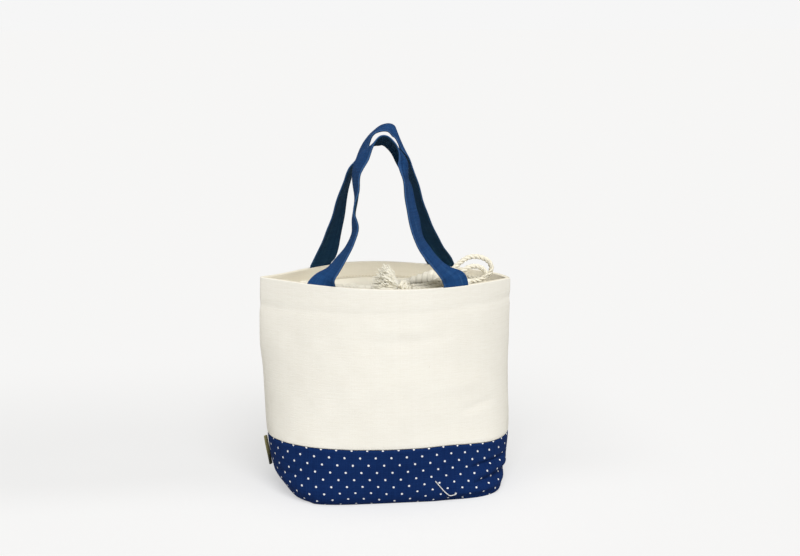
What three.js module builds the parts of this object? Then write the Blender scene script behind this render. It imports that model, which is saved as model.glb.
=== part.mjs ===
// Small canvas tote bag with a dotted base, two strap handles and a rope drawstring in a thin cotton collar.
// Millimetres, +Z up, +X to the right of the bag as its front is seen, -Y to the front.
// The origin is the middle of the bag's outline, on the plane that it stands on.
import * as THREE from 'three';

// Driving dimensions
const RIM_HEIGHT = 200;
const HALF_WIDTH = 119.3; // from the middle to where a side stands out most
const HALF_DEPTH = 70.5; // from the middle to the front or rear wall where they stand out most
const BAND_HEIGHT = 52.6; // dotted base, up from the ground
const RIM_DROP = 8; // how much lower the slumped right end of the rim is than the left end
const REAR_LIFT = 1.5; // how much higher the rear rim stands than the front rim
const SEAM_LEAN = 6; // how far forward the side seams stand at the rim
const CANVAS = 1.0;
const LINING = 0.6;
const COTTON_SHEET = 0.6;
const GAP = 0.3; // air between two layers that touch
const FACING_DEPTH = 17;
const SEAM_ALLOWANCE = 8;
const STRAP_WIDTH = 28;
const STRAP_THICKNESS = 1.8;
const TAIL_DEPTH = 20; // how far a strap end reaches down between canvas and facing
const BEVEL = 0.4; // slanted edge where the seam allowance in the rim ends
const ROPE_RADIUS = 2.5;

// Insets of the layers, measured inward from the bag's outer surface
const STRAP_INSET = CANVAS + GAP;
const FACING_INSET = STRAP_INSET + STRAP_THICKNESS + GAP;
const COLLAR_INSET = FACING_INSET + CANVAS + 2 * GAP;
const ALLOWANCE_INSET = CANVAS + 2 * GAP;
const SEAM_TIP = COLLAR_INSET + 1; // half thickness of the bag at its side seams, with room for every layer

// Colours as the photo shows them
const NATURAL = 0xefe8da;
const NAVY = 0x123055;
const DOTTED = 0x0d2450;
const COTTON = 0xe6dfce;
const ROPE = 0xf3ead2;
const KHAKI = 0x6d6c4f;

function aboveBand(share) {
  return BAND_HEIGHT + share * (RIM_HEIGHT - BAND_HEIGHT);
}

// The bag's outline at some heights. For each: how far every side is drawn in from its widest reach, how
// much further forward the right end of the front stands than the left end, the corner and pinch powers of
// the walls, and how much harder the rear wall is pinched at its left end than at its right end.
const LEVEL_HEIGHTS = [0, 3, 9, 22, BAND_HEIGHT, aboveBand(0.4), aboveBand(0.62), RIM_HEIGHT];
const LEVELS = {
  left: [29, 24, 18.5, 11.2, 6.5, 4, 0.9, 1.9],
  right: [16, 13, 10.5, 4.6, 0.6, 1, 0.6, 0.3],
  front: [5.5, 2.2, 0.3, 0.3, 0, 0.5, 2.5, 5.5],
  frontTurn: [4, 3.5, 2.5, 1, 0, 0, 0, 0],
  rear: [13.5, 9.5, 7, 4, 2.3, 0.5, 0, 0],
  corner: [0.42, 0.45, 0.53, 0.72, 0.93, 1, 1, 1],
  frontPinch: [0.42, 0.45, 0.53, 0.75, 1.03, 1.5, 1.85, 2.4],
  rearPinch: [0.5, 0.52, 0.58, 0.78, 1, 1.5, 1.85, 2.4],
  rearSkew: [0, 0, 0, 0, 0, 0.2, 0.6, 1.2],
};
const TIP_POWER = 0.6; // how blunt the outline is right at a side seam

// Hermite blend of one value of LEVELS at height z
function levelValue(key, z) {
  const values = LEVELS[key];
  const heights = LEVEL_HEIGHTS;
  const last = heights.length - 1;
  let i = 0;
  while (i < last - 1 && z > heights[i + 1]) i += 1;
  const slope = (k) => {
    const low = Math.max(k - 1, 0);
    const high = Math.min(k + 1, last);
    return (values[high] - values[low]) / (heights[high] - heights[low]);
  };
  const span = heights[i + 1] - heights[i];
  const t = (z - heights[i]) / span;
  const rise = values[i + 1] - values[i];
  const inner = slope(i) * span;
  const outer = slope(i + 1) * span;
  const square = 3 * rise - 2 * inner - outer;
  const cube = inner + outer - 2 * rise;
  return values[i] + inner * t + square * t ** 2 + cube * t ** 3;
}

// A point of the bag's wall. The angle runs from 0 at the right side seam over the rear to the left seam and
// the front. The inset measures inward, and lift moves the point straight up from its place on the wall.
function wallPoint(angle, z, inset = 0, lift = 0) {
  const c = Math.cos(angle);
  const s = Math.sin(angle);
  const rear = s > 0;
  const reach = HALF_WIDTH - levelValue(c > 0 ? 'right' : 'left', z) - inset;
  const x = reach * Math.sign(c) * Math.abs(c) ** levelValue('corner', z);
  const seam = (-SEAM_LEAN * z) / RIM_HEIGHT;
  const forward = (levelValue('frontTurn', z) * x) / HALF_WIDTH;
  const drawnIn = rear ? levelValue('rear', z) + seam : levelValue('front', z) - seam - forward;
  const rearPinch = levelValue('rearPinch', z) - levelValue('rearSkew', z) * c;
  const pinch = rear ? rearPinch : levelValue('frontPinch', z);
  const depth = HALF_DEPTH - drawnIn;
  const y = (depth - SEAM_TIP) * Math.abs(s) ** pinch + (SEAM_TIP - inset) * Math.abs(s) ** TIP_POWER;
  const height = z / RIM_HEIGHT;
  const sink = (RIM_DROP / 2) * (x / HALF_WIDTH) * height ** 1.5;
  const raise = rear ? REAR_LIFT * s * height ** 3 : 0;
  return new THREE.Vector3(x, seam + y * Math.sign(s), z - sink + raise + lift);
}

// The wall angle at which the rim has a given x, on the front or the rear wall
function rimAngle(x, rear) {
  const reach = HALF_WIDTH - levelValue(x > 0 ? 'right' : 'left', RIM_HEIGHT);
  const angle = Math.acos(x / reach);
  return rear ? angle : 2 * Math.PI - angle;
}

function spread(from, to, steps) {
  return Array.from({ length: steps + 1 }, (_, k) => from + ((to - from) * k) / steps);
}

// Triangles that fill one closed ring of points, found in the plane that fits the ring best
function fillRing(ring) {
  const normal = new THREE.Vector3();
  const middle = new THREE.Vector3();
  ring.forEach((p, k) => {
    const q = ring[(k + 1) % ring.length];
    normal.add(new THREE.Vector3().crossVectors(p, q));
    middle.addScaledVector(p, 1 / ring.length);
  });
  normal.normalize();
  const across = new THREE.Vector3().subVectors(ring[0], middle).cross(normal).normalize();
  const along = new THREE.Vector3().crossVectors(normal, across);
  const flat = ring.map((p) => {
    const d = new THREE.Vector3().subVectors(p, middle);
    return new THREE.Vector2(d.dot(across), d.dot(along));
  });
  return THREE.ShapeUtils.triangulateShape(flat, []);
}

function signedVolume(points, index) {
  let sum = 0;
  for (let k = 0; k < index.length; k += 3) {
    const [a, b, c] = [points[index[k]], points[index[k + 1]], points[index[k + 2]]];
    sum += a.dot(new THREE.Vector3().crossVectors(b, c)) / 6;
  }
  return sum;
}

// One closed solid through rings of equally many points, with the first and the last ring filled
function loft(rings) {
  const count = rings[0].length;
  const points = rings.flat();
  const index = [];
  for (let row = 0; row < rings.length - 1; row += 1) {
    for (let k = 0; k < count; k += 1) {
      const a = row * count + k;
      const b = row * count + ((k + 1) % count);
      index.push(a, b, b + count, a, b + count, a + count);
    }
  }
  const lastRow = (rings.length - 1) * count;
  fillRing(rings[0]).forEach(([a, b, c]) => index.push(a, c, b));
  fillRing(rings[rings.length - 1]).forEach(([a, b, c]) => index.push(lastRow + a, lastRow + b, lastRow + c));
  if (signedVolume(points, index) < 0) index.reverse();
  const geometry = new THREE.BufferGeometry();
  geometry.setAttribute('position', new THREE.Float32BufferAttribute(points.flatMap((p) => p.toArray()), 3));
  geometry.setIndex(index);
  return geometry;
}

const bag = new THREE.Group();

function place(name, geometry, colour, roughness = 0.9) {
  const look = { color: colour, roughness, metalness: 0, flatShading: true };
  const mesh = new THREE.Mesh(geometry, new THREE.MeshStandardMaterial(look));
  mesh.name = name;
  bag.add(mesh);
}

// Where the four strap ends go down into the rim: the x of the middle of each
const FEET = [
  { name: 'front_handle_left_tail', x: -65.5, rear: false },
  { name: 'front_handle_right_tail', x: 60, rear: false },
  { name: 'rear_handle_left_tail', x: -58.5, rear: true },
  { name: 'rear_handle_right_tail', x: 61, rear: true },
];

// Angles across a strap end, found from the length of the rim that it covers
const FOOT_STEPS = 4;

function footAngles(foot) {
  const middle = rimAngle(foot.x, foot.rear);
  const step = 0.002;
  const edge = (direction) => {
    let angle = middle;
    let length = 0;
    while (length < STRAP_WIDTH / 2) {
      const here = wallPoint(angle, RIM_HEIGHT, STRAP_INSET);
      angle += direction * step;
      length += here.distanceTo(wallPoint(angle, RIM_HEIGHT, STRAP_INSET));
    }
    return angle;
  };
  return spread(edge(-1), edge(1), FOOT_STEPS);
}

// The halves of the wall stop short of the side seams by half a gap
const SEAM_STOP = 0.003;
const HALF = {
  front: [Math.PI + SEAM_STOP, 2 * Math.PI - SEAM_STOP],
  back: [SEAM_STOP, Math.PI - SEAM_STOP],
};
const WALL_STEPS = 20;
const POCKET = { inner: 0.025, outer: 0.033, clear: 0.06 }; // room beside a strap end, as wall angles

// Angles at which the pieces of one half are drawn: even steps, and closer ones at the strap ends
function wallColumns(side) {
  const near = FEET.filter((foot) => foot.rear === (side === 'back')).map(footAngles);
  const dense = near.flatMap((angles) => {
    const [from, to] = [angles[0], angles[angles.length - 1]];
    return [from - POCKET.outer, from - POCKET.inner, ...angles, to + POCKET.inner, to + POCKET.outer];
  });
  const outside = (angle, angles) => {
    return angle < angles[0] - POCKET.clear || angle > angles[FOOT_STEPS] + POCKET.clear;
  };
  const clear = (angle) => near.every((angles) => outside(angle, angles));
  return [...spread(...HALF[side], WALL_STEPS).filter(clear), ...dense].sort((a, b) => a - b);
}

// A cloth piece of the wall: its section is a closed list of [inset, height], and may change with the angle
function wallPiece(sectionAt, columns) {
  return loft(columns.map((angle) => sectionAt(angle).map(([inset, z]) => wallPoint(angle, z, inset))));
}

// Canvas body panels, from the rim to the dotted base, with the seam allowance tucked in behind the base
function bodyPanel(side) {
  const foot = BAND_HEIGHT + GAP;
  const heights = spread(foot + 4, RIM_HEIGHT, 5);
  const outside = heights.map((z) => [0, z]);
  const inside = heights.toReversed().map((z) => [CANVAS, z]);
  const allowance = [
    [ALLOWANCE_INSET + CANVAS, foot + 2],
    [ALLOWANCE_INSET + CANVAS, BAND_HEIGHT - SEAM_ALLOWANCE],
    [ALLOWANCE_INSET, BAND_HEIGHT - SEAM_ALLOWANCE],
    [ALLOWANCE_INSET, foot],
  ];
  const section = [[0, foot], ...outside, ...inside, ...allowance];
  return wallPiece(() => section, wallColumns(side));
}

// The dotted base wrap is one cup: up the outside, over its top edge, down the inside, with a flat bottom
function baseWrap() {
  const heights = [0, 1.5, 4, 9, 18, 32, BAND_HEIGHT];
  const floor = CANVAS;
  const turn = spread(0, 2 * Math.PI, 48).slice(0, -1);
  const outside = heights.map((z) => turn.map((angle) => wallPoint(angle, z)));
  const inner = heights.toReversed().filter((z) => z > floor);
  const inside = [...inner, floor].map((z) => turn.map((angle) => wallPoint(angle, z, CANVAS)));
  return loft([...outside, ...inside]);
}

// Rim facing, with the seam allowance that fills the rim between the strap ends
function rimFacing(side) {
  const pockets = FEET.filter((foot) => foot.rear === (side === 'back')).map(footAngles);
  const thickTo = RIM_HEIGHT - SEAM_ALLOWANCE;
  const room = (POCKET.inner + POCKET.outer) / 2;
  const sectionAt = (angle) => {
    const atStrap = pockets.some((angles) => angle > angles[0] - room && angle < angles[FOOT_STEPS] + room);
    const outer = atStrap ? FACING_INSET : STRAP_INSET;
    return [
      [outer, RIM_HEIGHT],
      [outer, thickTo],
      [FACING_INSET, thickTo - BEVEL],
      [FACING_INSET, RIM_HEIGHT - FACING_DEPTH],
      [FACING_INSET + CANVAS, RIM_HEIGHT - FACING_DEPTH],
      [FACING_INSET + CANVAS, RIM_HEIGHT],
    ];
  };
  return wallPiece(sectionAt, wallColumns(side));
}

// The sewn strap ends between canvas and facing
function strapTail(foot) {
  const section = [
    [STRAP_INSET, RIM_HEIGHT],
    [STRAP_INSET, RIM_HEIGHT - TAIL_DEPTH],
    [STRAP_INSET + STRAP_THICKNESS, RIM_HEIGHT - TAIL_DEPTH],
    [STRAP_INSET + STRAP_THICKNESS, RIM_HEIGHT],
  ];
  return wallPiece(() => section, footAngles(foot));
}

// Lining walls hang from the facing, and the lining floor lies on the base
function liningWall(side) {
  const top = RIM_HEIGHT - FACING_DEPTH - GAP;
  const foot = 2 * CANVAS + GAP;
  const heights = [top, aboveBand(0.6), aboveBand(0.3), BAND_HEIGHT, 20, 8, foot];
  const outside = heights.map((z) => [FACING_INSET, z]);
  const inside = heights.toReversed().map((z) => [FACING_INSET + LINING, z]);
  return wallPiece(() => [...outside, ...inside], spread(...HALF[side], WALL_STEPS));
}

function liningFloor() {
  const bottom = CANVAS + GAP;
  const turn = spread(0, 2 * Math.PI, 40).slice(0, -1);
  return loft([bottom, bottom + LINING].map((z) => {
    return turn.map((angle) => {
      const p = wallPoint(angle, z, FACING_INSET);
      return p.setZ(z);
    });
  }));
}

// The drawn mouth of the collar: the line that the rope follows in its casing
const MOUTH = { x: 2, y: -3, z: RIM_HEIGHT - 10, halfLength: 80, halfWidth: 32 };

// A smooth bump of height 1 round an angle
function bump(angle, at, width) {
  return Math.exp(-(((angle - at) / width) ** 2));
}

// A fold of the gathers stands up as a lobe behind the knot, with a dip beside it, and the rope pulls the
// right end up
function mouthPoint(angle) {
  const ruffle = 1.6 * Math.sin(9 * angle + 0.6);
  const lobe = 8.5 * bump(angle, 0.92, 0.2) - 2.5 * bump(angle, 1.42, 0.25);
  const pulledUp = 11 * bump(Math.sin(angle / 2), 0, 0.3);
  const x = MOUTH.x + (MOUTH.halfLength + ruffle) * Math.cos(angle);
  const y = MOUTH.y + (MOUTH.halfWidth + ruffle) * Math.sin(angle);
  const z = MOUTH.z + 1.2 * Math.sin(7 * angle) + lobe + pulledUp - (RIM_DROP / 2) * (x / HALF_WIDTH);
  return new THREE.Vector3(x, y, z);
}

// Half of the opening that the casing leaves at the right, where both rope ends come out
const EXIT_ANGLE = 0.36;
const ROPE_PROUD = 0.03; // how far the rope stands out of each end of its casing, as an angle
const CASING_RADIUS = ROPE_RADIUS + GAP;
const COLLAR_STEPS = 24;
const COLLAR_SAG = 3;
const COLLAR_ANGLES = {
  front: spread(HALF.front[0], 2 * Math.PI - EXIT_ANGLE, COLLAR_STEPS),
  back: spread(EXIT_ANGLE, HALF.back[1], COLLAR_STEPS),
};
// The hem of the collar comes in under the rope and goes round it, over its inner side, nearly back to itself
const CURL = { from: -1.4, to: -6.7, steps: 8 };

// Where the mouth line runs at an angle, and the level direction from there to the wall
function mouthFrame(angle) {
  const centre = mouthPoint(angle);
  const seam = wallPoint(angle, RIM_HEIGHT - FACING_DEPTH + 1, COLLAR_INSET);
  const outward = new THREE.Vector3(seam.x - centre.x, seam.y - centre.y, 0).normalize();
  const at = (turn, radius) => {
    const level = centre.clone().addScaledVector(outward, radius * Math.cos(turn));
    return level.setZ(centre.z + radius * Math.sin(turn));
  };
  return { seam, at };
}

// Thin cotton collar: from its seam at the foot of the facing to the mouth, where it is turned over the rope
function collar(side) {
  return loft(COLLAR_ANGLES[side].map((angle) => {
    const { seam, at } = mouthFrame(angle);
    const turns = spread(CURL.from, CURL.to, CURL.steps);
    const inner = turns.map((turn) => at(turn, CASING_RADIUS));
    const outer = turns.toReversed().map((turn) => at(turn, CASING_RADIUS + COTTON_SHEET));
    const start = at(CURL.from, CASING_RADIUS + COTTON_SHEET / 2);
    const sheet = (share, half) => {
      const p = seam.clone().lerp(start, share);
      return p.setZ(p.z - COLLAR_SAG * 4 * share * (1 - share) + half);
    };
    const shares = [0, 0.3, 0.6, 0.88];
    const upper = shares.map((share) => sheet(share, COTTON_SHEET / 2));
    const lower = shares.toReversed().map((share) => sheet(share, -COTTON_SHEET / 2));
    return [...upper, ...inner, ...outer, ...lower];
  }));
}

// The rope where the casing holds it, from one exit round the mouth to the other
function casingRope() {
  const angles = [
    EXIT_ANGLE - ROPE_PROUD,
    ...COLLAR_ANGLES.back.slice(0, -1),
    ...COLLAR_ANGLES.front,
    2 * Math.PI - EXIT_ANGLE + ROPE_PROUD,
  ];
  const turns = spread(0, 2 * Math.PI, 8).slice(0, -1);
  return loft(angles.map((angle) => turns.map((turn) => mouthFrame(angle).at(turn, ROPE_RADIUS))));
}

// Rope of one thickness along a smooth line through points
function rope(points, steps, sides = 8) {
  const route = new THREE.CatmullRomCurve3(points, false, 'centripetal');
  const section = new THREE.Shape();
  spread(0, 2 * Math.PI, sides).slice(0, -1).forEach((turn, k) => {
    const at = [ROPE_RADIUS * Math.cos(turn), ROPE_RADIUS * Math.sin(turn)];
    if (k === 0) section.moveTo(...at);
    else section.lineTo(...at);
  });
  return new THREE.ExtrudeGeometry(section, { steps, extrudePath: route, bevelEnabled: false });
}

// Free rope strands, from the casing over the right end of the mouth to the knot. Points chosen by hand.
const UPPER_STRAND = [
  [77.1, 6.8, 196.4],
  [77.6, 3.8, 196.3],
  [82.5, 0.3, 195.6],
  [90, -0.8, 195.3],
  [97.5, -1.2, 198],
  [101.3, -1.6, 204.5],
  [98.5, -2.6, 211.5],
  [90, -3.5, 216.3],
  [79, -4.2, 216.5],
  [68, -6.5, 210.5],
  [59.5, -10.5, 203.5],
  [49, -14.5, 197.5],
  [37, -18, 194.2],
  [28, -20.6, 193.8],
  [21.9, -21.4, 193.9],
];
const LOWER_STRAND = [
  [76.6, -12.5, 194.6],
  [76.8, -9.8, 194.5],
  [82, -7.8, 194.3],
  [89, -8.2, 195.6],
  [94.2, -8.8, 199.3],
  [92.5, -9.3, 205],
  [86, -9.8, 208.6],
  [78, -10.8, 208.4],
  [70, -13.3, 204.2],
  [62, -17.5, 199.4],
  [51, -21.3, 195],
  [38, -24.8, 192.8],
  [28, -27, 192.5],
  [21.9, -27.5, 192.6],
];

// A solid turned about the line between two points, from a half profile of [radius, distance]
function turned(profile, from, to, sides) {
  const start = new THREE.Vector3(...from);
  const direction = new THREE.Vector3(...to).sub(start).normalize();
  const geometry = new THREE.LatheGeometry(profile.map(([r, h]) => new THREE.Vector2(r, h)), sides);
  geometry.applyQuaternion(new THREE.Quaternion().setFromUnitVectors(new THREE.Vector3(0, 1, 0), direction));
  geometry.translate(...from);
  return geometry;
}

// The knot that joins both strands, a short barrel, and the frayed ends that bloom out of it
const KNOT = { from: [20.6, -24.5, 193], to: [8.5, -24, 194.4], length: 12.2, radius: 6.6 };
const TUFT = { from: [7.2, -24, 194.6], to: [-14.5, -21, 203.5], length: 24, neck: 4.5, bloom: 10.5 };

function knotSolid() {
  const { length, radius } = KNOT;
  const profile = [
    [0, 0],
    [0.84 * radius, 0],
    [radius, 0.2 * length],
    [radius, 0.75 * length],
    [0.7 * radius, length],
    [0, length],
  ];
  return turned(profile, KNOT.from, KNOT.to, 14);
}

function tuftSolid() {
  const { length, neck, bloom } = TUFT;
  const profile = [
    [0, 0],
    [neck, 0],
    [0.8 * bloom, 0.45 * length],
    [bloom, 0.8 * length],
    [0.75 * bloom, length],
    [0, length],
  ];
  return turned(profile, TUFT.from, TUFT.to, 14);
}

// Handle routes between the two feet: x, y, height above the rim, and for the strap's width its turn about
// the vertical and its lean out of level, in degrees.
// The strap starts flat along the rim, twists edge-on up its leg and lies nearly flat over the top.
const FRONT_ROUTE = [
  [-60.5, -43.5, 9.5, -52, 0],
  [-52.5, -41.5, 16, -66, 0],
  [-43.8, -39, 27, -77, 0],
  [-37.3, -36.5, 38, -85, 0],
  [-33.5, -34, 48, -90, 0],
  [-32.4, -31, 62, -94, 0],
  [-30.6, -28, 79, -95, 0],
  [-29.5, -25, 96, -86, 0],
  [-24, -22, 113, -86, 5],
  [-15.5, -19.5, 125, -89, 15],
  [-6.5, -19, 129.5, -91, 24],
  [3.5, -19.5, 125, -94, 20],
  [10.5, -21, 113.5, -104, 9],
  [16.8, -24.5, 97, -117, 0],
  [19.8, -29, 74, -113, 0],
  [23.2, -33, 55, -121, 0],
  [29, -36.5, 39.5, -127, 0],
  [39, -41, 21, -134, 0],
  [46.5, -43.5, 13, -139, 0],
  [55, -45.5, 5.5, -147, 0],
];
const REAR_ROUTE = [
  [-54.5, 41, 13, 33, 0],
  [-48.8, 36, 31, 44, 0],
  [-45.2, 32, 45, 52, 0],
  [-42.2, 28.5, 58, 57, 0],
  [-38, 24, 75, 64, 0],
  [-33.3, 20, 90, 71, 0],
  [-27.5, 16, 106, 79, 0],
  [-20, 13, 119.5, 85, 4],
  [-11.5, 11, 131, 89, 8],
  [0, 10, 138.8, 92, 11],
  [8.5, 10, 138, 95, 11],
  [14.5, 11, 128.5, 98, 7],
  [19, 13.5, 115, 100, 2],
  [24, 17, 100, 104, 0],
  [29.5, 22, 78, 110, 0],
  [35.3, 27, 58, 118, 0],
  [43.2, 33.5, 36, 127, 0],
  [51, 39.5, 19, 138, 0],
  [57.5, 43.5, 8, 148, 0],
];

const LOOP_LIFT = 0.4; // air between a sewn strap end and the free loop above it
const FOOT_RINGS = 6; // rings over which the strap turns from along the rim to square to its own line

// One ring of the strap: six points of a flat section, from a middle and its width and thickness directions
function strapRing(middle, across, through) {
  const half = STRAP_WIDTH / 2;
  const thick = STRAP_THICKNESS / 2;
  const section = [[-half, -thick], [0, -thick], [half, -thick], [half, thick], [0, thick], [-half, thick]];
  return section.map(([w, t]) => middle.clone().addScaledVector(across, w).addScaledVector(through, t));
}

// The end of the loop stands on its sewn tail, so its ring follows the rim
function footRing(foot, flip) {
  const [from, , middle, , to] = footAngles(foot);
  const inset = STRAP_INSET + STRAP_THICKNESS / 2;
  const centre = wallPoint(middle, RIM_HEIGHT, inset, LOOP_LIFT);
  const across = wallPoint(to, RIM_HEIGHT, inset).sub(wallPoint(from, RIM_HEIGHT, inset)).normalize();
  if (flip) across.negate();
  const through = new THREE.Vector3(0, 0, 1).cross(across).normalize();
  return { centre, across, through };
}

// The value of a list at a place between its entries
function between(values, place) {
  const slot = Math.min(Math.floor(place), values.length - 2);
  return values[slot] + (values[slot + 1] - values[slot]) * (place - slot);
}

function handle(leftFoot, rightFoot, route, rear) {
  const start = footRing(leftFoot, rear);
  const finish = footRing(rightFoot, !rear);
  const free = route.map(([x, y, rise]) => new THREE.Vector3(x, y, RIM_HEIGHT + rise));
  const line = [start.centre, ...free, finish.centre];
  const curve = new THREE.CatmullRomCurve3(line, false, 'centripetal');
  const firstTurn = THREE.MathUtils.radToDeg(Math.atan2(start.across.y, start.across.x));
  const turnBack = THREE.MathUtils.radToDeg(Math.atan2(-finish.across.y, -finish.across.x));
  const lastTurn = rear ? 180 + turnBack : turnBack - 180;
  const turns = [firstTurn, ...route.map((row) => row[3]), lastTurn];
  const leans = [0, ...route.map((row) => row[4]), 0];
  const stepsPerPoint = 2;
  const steps = (line.length - 1) * stepsPerPoint;
  const rings = spread(0, 1, steps).map((share, k) => {
    const turn = THREE.MathUtils.degToRad(between(turns, k / stepsPerPoint));
    const lean = THREE.MathUtils.degToRad(between(leans, k / stepsPerPoint));
    const tangent = curve.getTangent(share);
    const level = Math.cos(lean);
    const across = new THREE.Vector3(level * Math.cos(turn), level * Math.sin(turn), Math.sin(lean));
    const square = Math.min(1, k / FOOT_RINGS, (steps - k) / FOOT_RINGS);
    across.addScaledVector(tangent, -square * across.dot(tangent)).normalize();
    const through = new THREE.Vector3().crossVectors(tangent, across).normalize();
    return strapRing(curve.getPoint(share), across, through);
  });
  rings[0] = strapRing(start.centre, start.across, start.through);
  rings[steps] = strapRing(finish.centre, finish.across.clone().negate(), finish.through);
  return loft(rings);
}

// Folded label in the left side seam at the height of the dots
const LABEL = { height: 28, reach: 6, thickness: 0.5, top: BAND_HEIGHT - 2.6, lean: 226 };

function sideLabel() {
  const { height, reach, thickness, top, lean } = LABEL;
  const half = thickness * 1.5;
  const outline = new THREE.Shape();
  outline.moveTo(0, -half);
  outline.lineTo(reach - half, -half);
  outline.absarc(reach - half, 0, half, -Math.PI / 2, Math.PI / 2, false);
  outline.lineTo(0, half);
  outline.lineTo(0, half - thickness);
  outline.lineTo(reach - half, half - thickness);
  outline.absarc(reach - half, 0, half - thickness, Math.PI / 2, -Math.PI / 2, true);
  outline.lineTo(0, -half + thickness);
  const settings = { depth: height, bevelEnabled: false, curveSegments: 4 };
  const geometry = new THREE.ExtrudeGeometry(outline, settings);
  const root = wallPoint(Math.PI, top, -2 * GAP - half);
  const low = wallPoint(Math.PI, top - height, -2 * GAP - half);
  const up = new THREE.Vector3(0, 0, 1);
  geometry.rotateZ(THREE.MathUtils.degToRad(lean));
  geometry.translate(0, 0, -height);
  geometry.applyQuaternion(new THREE.Quaternion().setFromUnitVectors(up, root.clone().sub(low).normalize()));
  return geometry.translate(...root);
}

place('front_body_panel', bodyPanel('front'), NATURAL);
place('back_body_panel', bodyPanel('back'), NATURAL);
place('dotted_base_wrap', baseWrap(), DOTTED);
place('front_rim_facing', rimFacing('front'), NATURAL);
place('back_rim_facing', rimFacing('back'), NATURAL);
place('front_lining', liningWall('front'), COTTON);
place('back_lining', liningWall('back'), COTTON);
place('lining_floor', liningFloor(), COTTON);
place('front_collar', collar('front'), COTTON);
place('back_collar', collar('back'), COTTON);
FEET.forEach((foot) => place(foot.name, strapTail(foot), NAVY));
place('front_handle', handle(FEET[0], FEET[1], FRONT_ROUTE, false), NAVY);
place('rear_handle', handle(FEET[2], FEET[3], REAR_ROUTE, true), NAVY);
place('drawstring_in_casing', casingRope(), ROPE);
place('drawstring_upper_strand', rope(UPPER_STRAND.map((p) => new THREE.Vector3(...p)), 24), ROPE);
place('drawstring_lower_strand', rope(LOWER_STRAND.map((p) => new THREE.Vector3(...p)), 22), ROPE);
place('drawstring_knot', knotSolid(), ROPE);
place('drawstring_tuft', tuftSolid(), ROPE);
place('side_label', sideLabel(), KHAKI);

export default bag;
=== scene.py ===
# %% [markdown]
# # A small canvas bag with a dotted base and a rope drawstring
#
# The real bag is sewn from a few flat pieces: two natural canvas panels, a navy wrap with white dots
# round its foot, two strap handles caught in the rim, and a thin cotton collar that a rope draws shut.
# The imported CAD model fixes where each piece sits. This script gives every piece its cloth: softness,
# seams, gathers, twist and weave.

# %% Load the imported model
import math

import bmesh
import bpy
import numpy as np
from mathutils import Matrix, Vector


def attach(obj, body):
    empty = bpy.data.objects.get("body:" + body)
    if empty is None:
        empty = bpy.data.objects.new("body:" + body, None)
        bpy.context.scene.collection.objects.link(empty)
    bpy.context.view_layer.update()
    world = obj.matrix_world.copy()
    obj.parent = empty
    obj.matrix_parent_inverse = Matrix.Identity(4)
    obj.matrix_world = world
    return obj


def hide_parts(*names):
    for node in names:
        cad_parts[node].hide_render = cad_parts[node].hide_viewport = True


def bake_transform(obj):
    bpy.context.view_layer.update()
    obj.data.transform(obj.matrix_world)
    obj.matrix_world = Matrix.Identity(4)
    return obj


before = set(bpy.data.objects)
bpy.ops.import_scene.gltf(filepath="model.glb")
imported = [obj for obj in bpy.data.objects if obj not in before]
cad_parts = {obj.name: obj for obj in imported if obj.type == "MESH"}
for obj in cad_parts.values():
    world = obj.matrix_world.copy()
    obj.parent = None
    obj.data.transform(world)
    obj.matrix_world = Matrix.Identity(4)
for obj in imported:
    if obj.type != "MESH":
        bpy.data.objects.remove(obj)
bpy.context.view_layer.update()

MM = 0.001  # cloth shapes are worked out in millimetres, and become metres when a mesh is made

# %% [markdown]
# ## The camera
#
# The photographer stood a little to the left and above the rim, about 1.2 m away. A long lens keeps the
# bag's sides nearly upright, as they are in the picture.

# %% Camera
LOOK_DOWN, LOOK_RIGHT = 11.3, 8.61  # degrees
camera = bpy.data.objects.new("camera", bpy.data.cameras.new("camera"))
bpy.context.collection.objects.link(camera)
camera.location = (-0.1675, -1.1988, 0.440)
camera.rotation_euler = (math.radians(90 - LOOK_DOWN), 0, -math.radians(LOOK_RIGHT))
camera.data.sensor_width = 36
camera.data.lens = 59.2
bpy.context.scene.camera = camera
print("camera lens", round(camera.data.lens, 1), "mm")

# %% [markdown]
# ## Small helpers for nodes
#
# A material or a Geometry Nodes tree is easier to read as a list of steps. `Wiring` adds a node and
# joins its inputs in one call, and `new_group` makes a reusable group with named sockets.


# %% Node helpers
class Wiring:
    """Puts nodes in a tree. An input given as a node or a socket is linked, and a plain value is set."""

    def __init__(self, tree):
        self.tree = tree

    def __call__(self, kind, inputs=None, **settings):
        made = self.tree.nodes.new(kind)
        for key, value in settings.items():
            setattr(made, key, value)
        for key, value in (inputs or {}).items():
            self.join(value, made.inputs[key])
        return made

    def join(self, value, socket):
        if isinstance(value, bpy.types.Node):
            value = next(s for s in value.outputs if s.enabled)
        if isinstance(value, bpy.types.NodeSocket):
            self.tree.links.new(value, socket)
        else:
            socket.default_value = value

    def math(self, operation, *values):
        return self("ShaderNodeMath", dict(enumerate(values)), operation=operation)

    def vector(self, operation, *values):
        return self("ShaderNodeVectorMath", dict(enumerate(values)), operation=operation)

    def scaled(self, vector, factor):
        return self("ShaderNodeVectorMath", {0: vector, "Scale": factor}, operation="SCALE")

    def mix(self, factor, a, b, blend_type="MIX"):
        sockets = {0: factor, 6: a, 7: b}
        return self("ShaderNodeMix", sockets, data_type="RGBA", blend_type=blend_type)

    def blend_values(self, factor, a, b):
        return self("ShaderNodeMix", {0: factor, 2: a, 3: b}, data_type="FLOAT")

    def ramp(self, value, low, high, to_low=0.0, to_high=1.0):
        sockets = {0: value, 1: low, 2: high, 3: to_low, 4: to_high}
        return self("ShaderNodeMapRange", sockets, interpolation_type="SMOOTHSTEP")


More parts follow.
